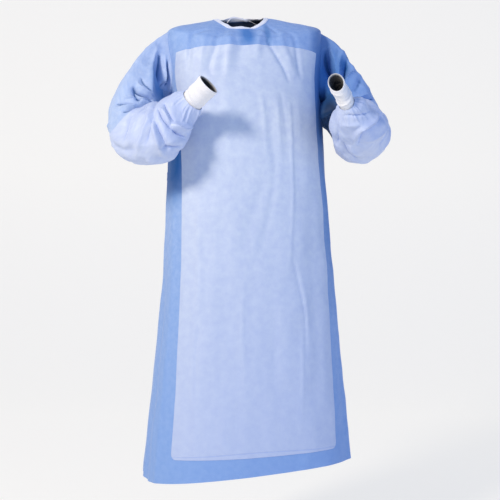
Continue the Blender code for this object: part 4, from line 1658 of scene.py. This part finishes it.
# ---------------------------------------------------------------- the sleeves' pieces
RIGHT_SLEEVE_CREASES = (
    # ---- down from the shoulder to the inside of the elbow
    Crease("shoulder_edge", ((1.2, 164), (2.1, 146), (3.4, 128), (4.8, 113), (6.3, 100)), 9, 11, CRISP),
    Crease("shoulder_valley", ((1.2, 150), (1.8, 120), (2.6, 96), (3.8, 78)), 15, -24, CRISP),
    Crease("armhole_edge", ((0.5, 140), (0.9, 117), (1.2, 90), (1.9, 68)), 6, 9, CRISP),
    Crease("armhole_valley", ((0.4, 124), (0.7, 100), (0.7, 64), (1.4, 38)), 8, -13, CRISP),
    Crease("armpit_pocket", ((1.6, 74), (2.8, 54), (4.2, 38)), 12, -22),
    # ---- the folds that are pressed into the elbow
    Crease("upper_fold_ridge", ((6.1, 96), (6.1, 116), (5.9, 138)), 6, 7, CRISP),
    Crease("upper_fold_dark", ((6.1, 149), (6.7, 132), (7.0, 114), (7.1, 94)), 5, -16, CRISP),
    Crease("short_fold", ((6.1, 150), (7.0, 138), (8.0, 130), (8.8, 122)), 7, -15, CRISP),
    Crease("middle_fold_ridge", ((8.4, 92), (8.1, 114), (7.9, 140), (7.8, 162)), 6, 9, CRISP),
    Crease("middle_fold_dark", ((8.4, 182), (9.1, 156), (10.4, 136), (10.8, 116), (10.8, 98)), 5, -16, CRISP),
    Crease("lower_fold_ridge", ((9.0, 178), (10.0, 158), (10.9, 140), (11.3, 110)), 5, 10, CRISP),
    Crease("lower_fold_dark", ((11.9, 94), (11.8, 122), (11.2, 150), (10.6, 168)), 5, -14, CRISP),
    Crease("small_line_a", ((4.8, 142), (5.3, 129), (5.6, 117), (5.9, 102)), 4, -6, CRISP),
    Crease("small_line_b", ((5.3, 146), (5.8, 135), (6.2, 120)), 4, 5, CRISP),
    # ---- the forearm's folds, out from the inside of the elbow
    Crease("ray_a", ((13.1, 152), (13.2, 172), (14.0, 195), (14.6, 224)), 8, -6, CRISP),
    Crease("ray_b", ((19.8, 164), (19.0, 184), (17.6, 202), (16.9, 226), (16.3, 252)), 9, 8, CRISP),
    Crease("ray_b_dark", ((20.2, 178), (19.2, 198), (18.2, 214), (17.7, 234)), 7, -7, CRISP),
    Crease("ray_c", ((15.0, 150), (15.2, 172), (15.4, 198), (15.3, 226)), 8, 5, CRISP),
    Crease("ray_d", ((19.8, 196), (19.4, 214), (18.9, 240), (18.4, 276)), 8, 12, CRISP),
    Crease("ray_d_dark", ((20.3, 202), (20.0, 222), (19.5, 246), (18.8, 274)), 7, -9, CRISP),
    Crease("arc_a", ((21.4, 178), (21.7, 192), (21.9, 216), (22.2, 246), (22.4, 272)), 5, -10, CRISP),
    Crease("arc_a_swell", ((22.1, 186), (22.4, 212), (22.6, 242)), 6, 6, CRISP),
    Crease("arc_b", ((22.9, 180), (23.1, 196), (23.3, 222), (23.3, 250)), 4, -8, CRISP),
    Crease("wrist_fold", ((22.4, 244), (22.9, 258), (23.3, 282), (24.0, 330)), 7, 12, CRISP),
    Crease("wrist_dark", ((22.1, 252), (22.3, 270), (22.4, 300)), 5, -11, CRISP),
    Crease("under_hollow", ((18.8, 248), (19.2, 262), (19.9, 276), (20.8, 300)), 6, -12, CRISP),
    Crease("under_bulge", ((17.2, 262), (18.0, 290), (19.0, 316)), 10, 7),
    # ---- outside the elbow, under it and behind
    Crease("elbow_dent", ((11.0, 226), (14.0, 236), (17.0, 232)), 12, -7),
    Crease("elbow_ray_a", ((10.4, 250), (10.6, 214), (10.9, 196)), 6, 4, CRISP),
    Crease("elbow_ray_b", ((13.2, 300), (13.0, 270), (12.9, 244)), 8, 8, CRISP),
    Crease("elbow_ray_c", ((15.8, 320), (15.6, 290), (15.4, 262)), 8, -8, CRISP),
    Crease("back_trough", ((1.0, 286), (4.0, 272), (8.0, 256)), 14, -15, CRISP),
    Crease("back_ridge", ((1.2, 250), (4.0, 240), (8.0, 232)), 12, 12, CRISP),
    Crease("under_trough", ((19.0, 352), (22.0, 8), (25.0, 20)), 10, -9, CRISP),
    Crease("inner_trough", ((20.0, 60), (23.0, 66), (25.5, 80)), 9, -6),
)
LEFT_SLEEVE_CREASES = (
    # ---- down from the shoulder to the inside of the elbow
    Crease("shoulder_valley", ((0.35, 156), (0.8, 138), (1.5, 116), (2.5, 93), (3.7, 74)), 15, -36, CRISP),
    Crease("shoulder_crest", ((1.0, 168), (1.6, 148), (2.2, 126), (3.0, 106)), 9, 8, CRISP),
    Crease("shoulder_swell", ((0.0, 184), (1.6, 182), (3.6, 180)), 22, 6),
    Crease("v_fold", ((2.5, 182), (2.3, 164), (2.3, 146), (2.7, 126), (3.2, 110)), 8, 9, CRISP),
    Crease("v_fold_dark", ((3.0, 176), (3.1, 160), (3.2, 142), (3.5, 122), (4.0, 104)), 11, -22, CRISP),
    Crease("bright_wedge", ((4.0, 168), (3.8, 150), (3.8, 130), (4.2, 112)), 5, 9, CRISP),
    Crease("arm_trough", ((4.6, 170), (4.9, 154), (5.2, 138), (5.6, 118)), 10, -7),
    # ---- the folds that are pressed into the elbow
    Crease("upper_fold_ridge", ((6.7, 92), (6.7, 120), (6.5, 156)), 6, 8, CRISP),
    Crease("upper_fold_dark", ((8.0, 90), (7.8, 122), (7.2, 150), (6.9, 176)), 8, -9, CRISP),
    Crease("lower_fold_ridge", ((9.3, 92), (9.4, 124), (9.4, 166)), 6, 8, CRISP),
    Crease("lower_fold_dark", ((10.9, 92), (11.0, 126), (11.2, 170)), 8, -10, CRISP),
    # ---- the forearm's folds
    Crease("forearm_crest", ((16.0, 200), (19.5, 206), (22.5, 212), (25.6, 212)), 20, 11),
    Crease("wrist_blouse", ((19.0, 350), (23.0, 6), (27.0, 12)), 30, 8, ends=FAR),
    Crease("inner_flat", ((7.0, 38), (10.0, 30), (14.0, 20), (18.0, 14), (21.5, 14)), 26, -22),
    Crease("wrist_shoulder", ((26.4, 214), (25.8, 182), (25.0, 150), (24.6, 116)), 15, 9),
    Crease("wrist_wrinkle", ((26.3, 322), (26.3, 284), (25.6, 236), (24.2, 198)), 5, -7, CRISP),
    Crease("wrist_swell", ((25.0, 326), (24.9, 288), (24.4, 246)), 9, 7, CRISP),
    Crease("main_fold", ((22.4, 186), (23.4, 226), (24.0, 258), (23.4, 278), (21.4, 294)), 9, 17, CRISP),
    Crease("dark_plane", ((21.0, 190), (22.0, 224), (22.2, 256), (21.0, 284)), 14, -21, CRISP),
    Crease("plane_ridge", ((18.4, 190), (19.8, 214), (20.8, 246), (21.6, 284)), 8, 7, CRISP),
    Crease("outer_line_a", ((17.2, 178), (17.6, 208), (18.0, 242)), 7, -7, CRISP),
    Crease("outer_line_b", ((15.4, 176), (15.8, 206), (16.2, 240)), 8, 8, CRISP),
    Crease("outer_line_c", ((13.9, 180), (14.0, 206), (14.2, 236)), 7, -6, CRISP),
    Crease("low_facet", ((21.8, 320), (20.4, 314), (18.9, 307), (17.6, 296)), 8, -10, CRISP),
    Crease("low_facet_edge", ((21.4, 300), (19.8, 294), (18.0, 282)), 8, 7, CRISP),
    Crease("bottom_ridge", ((15.4, 272), (16.8, 296), (18.4, 322)), 9, 7, CRISP),
    Crease("front_line", ((24.6, 340), (22.4, 334), (20.0, 336)), 7, -6, CRISP),
    # ---- outside the elbow, under it and behind
    Crease("elbow_ray_a", ((10.2, 252), (10.5, 222), (10.8, 200)), 7, 6, CRISP),
    Crease("elbow_ray_b", ((13.0, 306), (12.9, 276), (12.8, 246)), 8, 8, CRISP),
    Crease("back_trough", ((1.0, 284), (4.0, 270), (8.0, 254)), 14, -15, CRISP),
    Crease("back_ridge", ((1.2, 248), (4.0, 238), (8.0, 230)), 12, 12, CRISP),
    Crease("inner_ray_a", ((15.6, 120), (15.8, 140), (15.6, 160)), 6, 10, CRISP),
    Crease("inner_ray_b", ((18.6, 110), (18.8, 134), (18.4, 158)), 6, -12, CRISP),
    Crease("inner_trough", ((20.0, 60), (23.0, 66), (25.5, 80)), 9, -6),
    Crease("underarm_bag", ((2.2, 20), (5.4, 26), (9.4, 34)), 34, 33),
)
RIGHT_PLEATS = (
    Pleat(8.6, 0.5, 4, -1.0, 0.5),
    Pleat(12.6, 0.5, 3, -0.4, 0.6),
    Pleat(15.2, 0.4, 4, 0.3, 0.6),
    Pleat(17.6, 0.5, 3, 0.6, 0.7),
    Pleat(20.0, 0.5, 3, 1.0, 0.6),
)
LEFT_PLEATS = (
    Pleat(7.2, 0.5, 4, -1.0, 0.5),
    Pleat(12.4, 0.5, 3, -0.2, 0.6),
    Pleat(14.6, 0.5, 3, 0.4, 0.7),
    Pleat(17.2, 0.5, 3, 0.8, 0.6),
    Pleat(19.6, 0.6, 3, 1.1, 0.5),
)


@dataclass
class Sleeve:
    """One sleeve: the blue upper part, the laminated lower part lapped over its end, and the cuff."""

    form: SleeveForm
    wardrobe: Wardrobe
    creases: tuple[Crease, ...]
    pleats: tuple[Pleat, ...]
    seed: float
    cloth: float = 0.0007
    laminate: float = 0.0008
    seam_gap: float = 0.0003
    lap_ring: float = 12
    under_lap_ring: float = 13
    lap_lift: float = 0.0012
    gathers: int = 21
    gather_mm: float = 3.0
    gather_half_mm: float = 3.4
    gather_ring: float = 24.6  # where a middling gather fades out
    cuff_inside: float = 0.009
    cuff_ribs: int = 44
    rib_height: float = 0.0008
    cuff_wall: float = 0.0018
    cuff_rim: float = 0.0018
    # Each soft ring's place along the cuff and half width in metres, its height in mm and its highest side.
    cuff_rings: tuple[tuple[float, float, float, float], ...] = (
        (0.010, 0.0030, 1.2, 40),
        (0.019, 0.0032, 1.4, 150),
        (0.028, 0.0028, 1.1, 90),
        (0.037, 0.0030, 1.3, 60),
        (0.048, 0.0036, 0.9, 300),
    )
    cuff_rows: int = 40

    def gather_creases(self) -> tuple[Crease, ...]:
        """Uneven gathers that run back from the cuff."""
        made = []
        for k in range(self.gathers):
            wander = noise.noise(Vector((k * 1.7, self.seed, 0.3)))
            longer = noise.noise(Vector((k * 2.3, self.seed, 7.1)))
            degrees = (k + 0.8 * wander) * 360 / self.gathers
            ring = self.gather_ring - 2.2 * longer
            path = (
                (self.form.last_ring, degrees),
                (ring + 0.8, degrees + 5 * longer),
                (ring, degrees + 9 * wander),
            )
            size = 1 + 0.6 * longer
            half, height = self.gather_half_mm * size, self.gather_mm * size
            made.append(Crease(f"gather_{k}", path, half, height, CRISP, FAR))
        return tuple(made)

    def surface(self) -> tuple[np.ndarray, np.ndarray]:
        """The creased outer side of the whole sleeve, and its normals."""
        form = self.form
        points, normals = form.points, form.normals
        height = sum(c.heights(points, normals, form) for c in self.creases + self.gather_creases())
        rings = form.rings[:, None] * np.ones(form.columns)
        degrees = form.degrees[None, :] * np.ones((form.rows, 1))
        height = height + sum(pleat.heights(rings, degrees) for pleat in self.pleats)
        # Soft dents of two sizes and sharp ones of two sizes, which calm down at the armhole and the wrist.
        dents = crumple(points, 60, 2.6, self.seed) + crumple(points, 24, 1.0, self.seed + 9)
        dents += crumple(points, 52, 5.0, self.seed + 17, sharp=True)
        dents += crumple(points, 21, 1.2, self.seed + 29, sharp=True)
        last = form.last_ring
        calm = ramp(rings, 0, 1.2) * (1 - 0.8 * ramp(rings, last - 2, last))
        height = height * ramp(rings, 0, 0.8) * (1 - 0.6 * ramp(rings, last - 1.1, last)) + dents * calm
        outer = points + normals * height[..., None]
        return outer, grid_normals(outer, around=True)

    def build_cloth(self) -> None:
        """Builds the upper and the lower part."""
        word, form = self.form.arm.word, self.form
        outer, normals = self.surface()
        upper = form.rings <= self.under_lap_ring + 1e-6
        lower = form.rings >= self.lap_ring - 1e-6
        inner = outer - normals * self.cloth
        piece = make_shell(f"{word}_sleeve_cloth", outer[upper], inner[upper], around=True)
        cut = Cut(0.52, 0.40, 0.115, Hold.HUNG, ("front", f"{word}_back"))
        # The sleeve's lighter, painted-light copy of the blue.
        dress(piece, f"{word}_sleeve", self.wardrobe.blue_sleeve_lit, cut)
        rings = form.rings[lower][:, None]
        angle = np.radians(form.degrees[None, :])
        # The lapped edge stands off a little, in uneven waves.
        ripple = np.sin(angle * 3 + math.radians(self.seed * 40)) * np.sin(angle * 2)
        near_edge = 1 - ramp(rings, self.lap_ring, self.lap_ring + 1.1)
        lift = self.lap_lift * (1 + 0.5 * ripple) * near_edge
        under = outer[lower] + normals[lower] * (self.seam_gap + lift)[..., None]
        over = under + normals[lower] * self.laminate
        piece = make_shell(f"{word}_lower_sleeve_cloth", over, under, around=True)
        cut = Cut(0.51, 0.40, 0.105, Hold.GATHERED, (f"{word}_sleeve", f"{word}_cuff"))
        dress(piece, f"{word}_lower_sleeve", self.wardrobe.pale, cut)

    def build_cuff(self) -> None:
        """Builds the knitted cuff, ribbed outside, with a rolled rim."""
        arm = self.form.arm
        ahead = arm.cuff_frame()[0]
        length = float(np.linalg.norm(np.subtract(arm.cuff_end, arm.wrist)))
        columns = self.cuff_ribs * 4
        angle = np.linspace(0, 2 * math.pi, columns, endpoint=False)
        ribs = self.rib_height * (0.5 + 0.5 * np.cos(angle * self.cuff_ribs))
        along = np.linspace(-self.cuff_inside, length - self.cuff_rim, self.cuff_rows)
        outer, inner = [], []
        tilt = arm.cuff_tilt * np.sin(angle)[:, None] * ahead
        for at in along:
            centre = np.add(arm.wrist, ahead * at)
            swell = self.cuff_swell(at, angle)
            lean = tilt * float(ramp(np.array(at), 0.010, length))
            outer.append(arm.oval(centre, ribs + swell, angle) + lean)
            inner.append(arm.oval(centre, swell * 0.5 - self.cuff_wall, angle) + lean)
        for turn in np.radians([30, 60, 85]):
            centre = np.add(arm.wrist, ahead * (length - self.cuff_rim * (1 - math.sin(turn))))
            swell = self.cuff_swell(length, angle)
            over, under = swell + ribs, swell * 0.5 - self.cuff_wall
            middle = (over + under) / 2
            outer.append(arm.oval(centre, middle + (over - middle) * math.cos(turn), angle) + tilt)
            inner.append(arm.oval(centre, middle + (under - middle) * math.cos(turn), angle) + tilt)
        piece = make_shell(f"{arm.word}_cuff_knit", np.array(outer), np.array(inner), around=True)
        cut = Cut(0.15, 0.085, 0.0125, Hold.STRETCHED, (f"{arm.word}_lower_sleeve",))
        dress(piece, f"{arm.word}_cuff", self.wardrobe.knit, cut)

    def cuff_swell(self, at: float, angle: np.ndarray) -> np.ndarray:
        """How far the cuff's soft rings swell it.

        Args:
            at: how far along the cuff, in metres.
            angle: radians round it.

        Returns:
            Distances in metres at each angle.
        """
        swell = 1.6 * MM * ramp(np.array(at), 0.040, 0.066) * np.ones_like(angle)
        for centre, width, height, side in self.cuff_rings:
            tilt = 0.005 * np.cos(angle - math.radians(side))
            weight = 0.6 + 0.4 * np.cos(angle - math.radians(side + 60))
            height *= self.form.arm.cuff_wrinkle * MM
            swell += height * weight * np.exp(-(((at - centre - tilt) / width) ** 2))
        return swell * ramp(np.array(at), 0.002, 0.008)

    def build(self) -> None:
        """Builds every piece of the sleeve."""
        self.build_cloth()
        self.build_cuff()


# ---------------------------------------------------------------- the studio
@dataclass(frozen=True)
class Lamp:
    """A soft box."""

    name: str
    place: tuple[float, float, float]
    aim: tuple[float, float, float]
    size: float
    watts: float
    colour: str

    def build(self) -> None:
        """Adds the lamp to the scene."""
        light = bpy.data.lights.new(self.name, "AREA")
        light.shape = "DISK"
        light.size = self.size
        light.energy = self.watts
        light.color = linear(self.colour)[:3]
        lamp = in_scene(self.name, light)
        lamp.location = self.place
        lamp.rotation_euler = (Vector(self.aim) - Vector(self.place)).to_track_quat("-Z", "Y").to_euler()


@dataclass
class Studio:
    """A plain pale sweep, soft light and the camera."""

    floor_z: float = -1.46
    half_width: float = 7.0
    bend_y: float = 2.2
    bend_radius: float = 1.4
    wall_height: float = 5.0
    sky: str = "#a3c5ff"
    sky_strength: float = 0.50
    wall: str = "#f1f2f3"
    backdrop: str = "#a8a8a8"
    backdrop_hue: str = "#fffbf2"
    backdrop_glow: float = 0.63
    camera_place: tuple[float, float, float] = (-0.492, -2.451, -0.62)
    camera_azimuth_deg: float = -12
    lens_mm: float = 66.67
    lamps: tuple[Lamp, ...] = (
        Lamp("key", (-2.8, -2.4, 1.6), (0.0, 0.0, -0.35), 0.8, 136, "#fff1da"),
        Lamp("blue_fill", (2.2, -3.5, 0.2), (0.1, 0.0, -0.5), 3.0, 34, "#b2cdff"),
    )

    def build_sweep(self) -> None:
        """Builds a floor that curves up behind the gown."""
        bend, radius = self.bend_y, self.bend_radius
        profile = [(-6.0, 0.0), (bend, 0.0)]
        for turn in np.radians(np.arange(6, 91, 6)):
            profile.append((bend + radius * math.sin(turn), radius * (1 - math.cos(turn))))
        profile.append((bend + radius, self.wall_height))
        points, faces = [], []
        for y, z in profile:
            points += [(-self.half_width, y, self.floor_z + z), (self.half_width, y, self.floor_z + z)]
        for k in range(len(profile) - 1):
            faces.append((2 * k, 2 * k + 1, 2 * k + 3, 2 * k + 2))
        mesh = bpy.data.meshes.new("studio_sweep")
        mesh.from_pydata(points, [], faces)
        mesh.shade_smooth()
        # Opal acrylic, lit from behind, so it stays even and pale.
        values = {"Base Color": linear(self.backdrop), "Roughness": 0.9}
        values |= {"Emission Color": linear(self.backdrop_hue), "Emission Strength": self.backdrop_glow}
        mesh.materials.append(start_material("opal_acrylic_sweep", values)[0])
        sweep = in_scene("studio_sweep", mesh)
        sweep.rotation_euler = (0.0, 0.0, math.radians(self.camera_azimuth_deg))

    def build_light(self) -> None:
        """Sets an even sky and adds the lamps."""
        world = bpy.data.worlds.new("studio_air")
        world.use_nodes = True
        tree = world.node_tree
        tree.nodes["Background"].inputs["Color"].default_value = linear(self.sky)
        tree.nodes["Background"].inputs["Strength"].default_value = self.sky_strength
        seen = add(tree, "ShaderNodeBackground", {"Color": linear(self.wall), "Strength": 1.0})
        links = {0: add(tree, "ShaderNodeLightPath").outputs["Is Camera Ray"]}
        links |= {1: tree.nodes["Background"].outputs[0], 2: seen.outputs[0]}
        mix = add(tree, "ShaderNodeMixShader", {}, links)
        tree.links.new(mix.outputs[0], tree.nodes["World Output"].inputs[0])
        bpy.context.scene.world = world
        bpy.context.scene.view_settings.view_transform = "Standard"
        for lamp in self.lamps:
            lamp.build()

    def build_camera(self) -> None:
        """Adds the camera, level and a little to the gown's right."""
        camera = bpy.data.cameras.new("camera")
        camera.lens = self.lens_mm
        camera.sensor_width = 36
        camera.clip_end = 50
        holder = in_scene("camera", camera)
        holder.location = self.camera_place
        holder.rotation_euler = (math.pi / 2, 0.0, math.radians(self.camera_azimuth_deg))
        bpy.context.scene.camera = holder

    def build(self) -> None:
        """Builds the whole studio."""
        self.build_sweep()
        self.build_light()
        self.build_camera()


def main() -> None:
    """Builds the gown and the studio."""
    logging.basicConfig(level=logging.INFO, format="%(name)s: %(message)s")
    wardrobe = make_wardrobe()
    body = BodyForm()
    Body(body, wardrobe).build()
    Sleeve(SleeveForm(RIGHT_ARM, body), wardrobe, RIGHT_SLEEVE_CREASES, RIGHT_PLEATS, seed=4.0).build()
    Sleeve(SleeveForm(LEFT_ARM, body), wardrobe, LEFT_SLEEVE_CREASES, LEFT_PLEATS, seed=40.0).build()
    Studio().build()


if __name__ == "__main__":
    main()
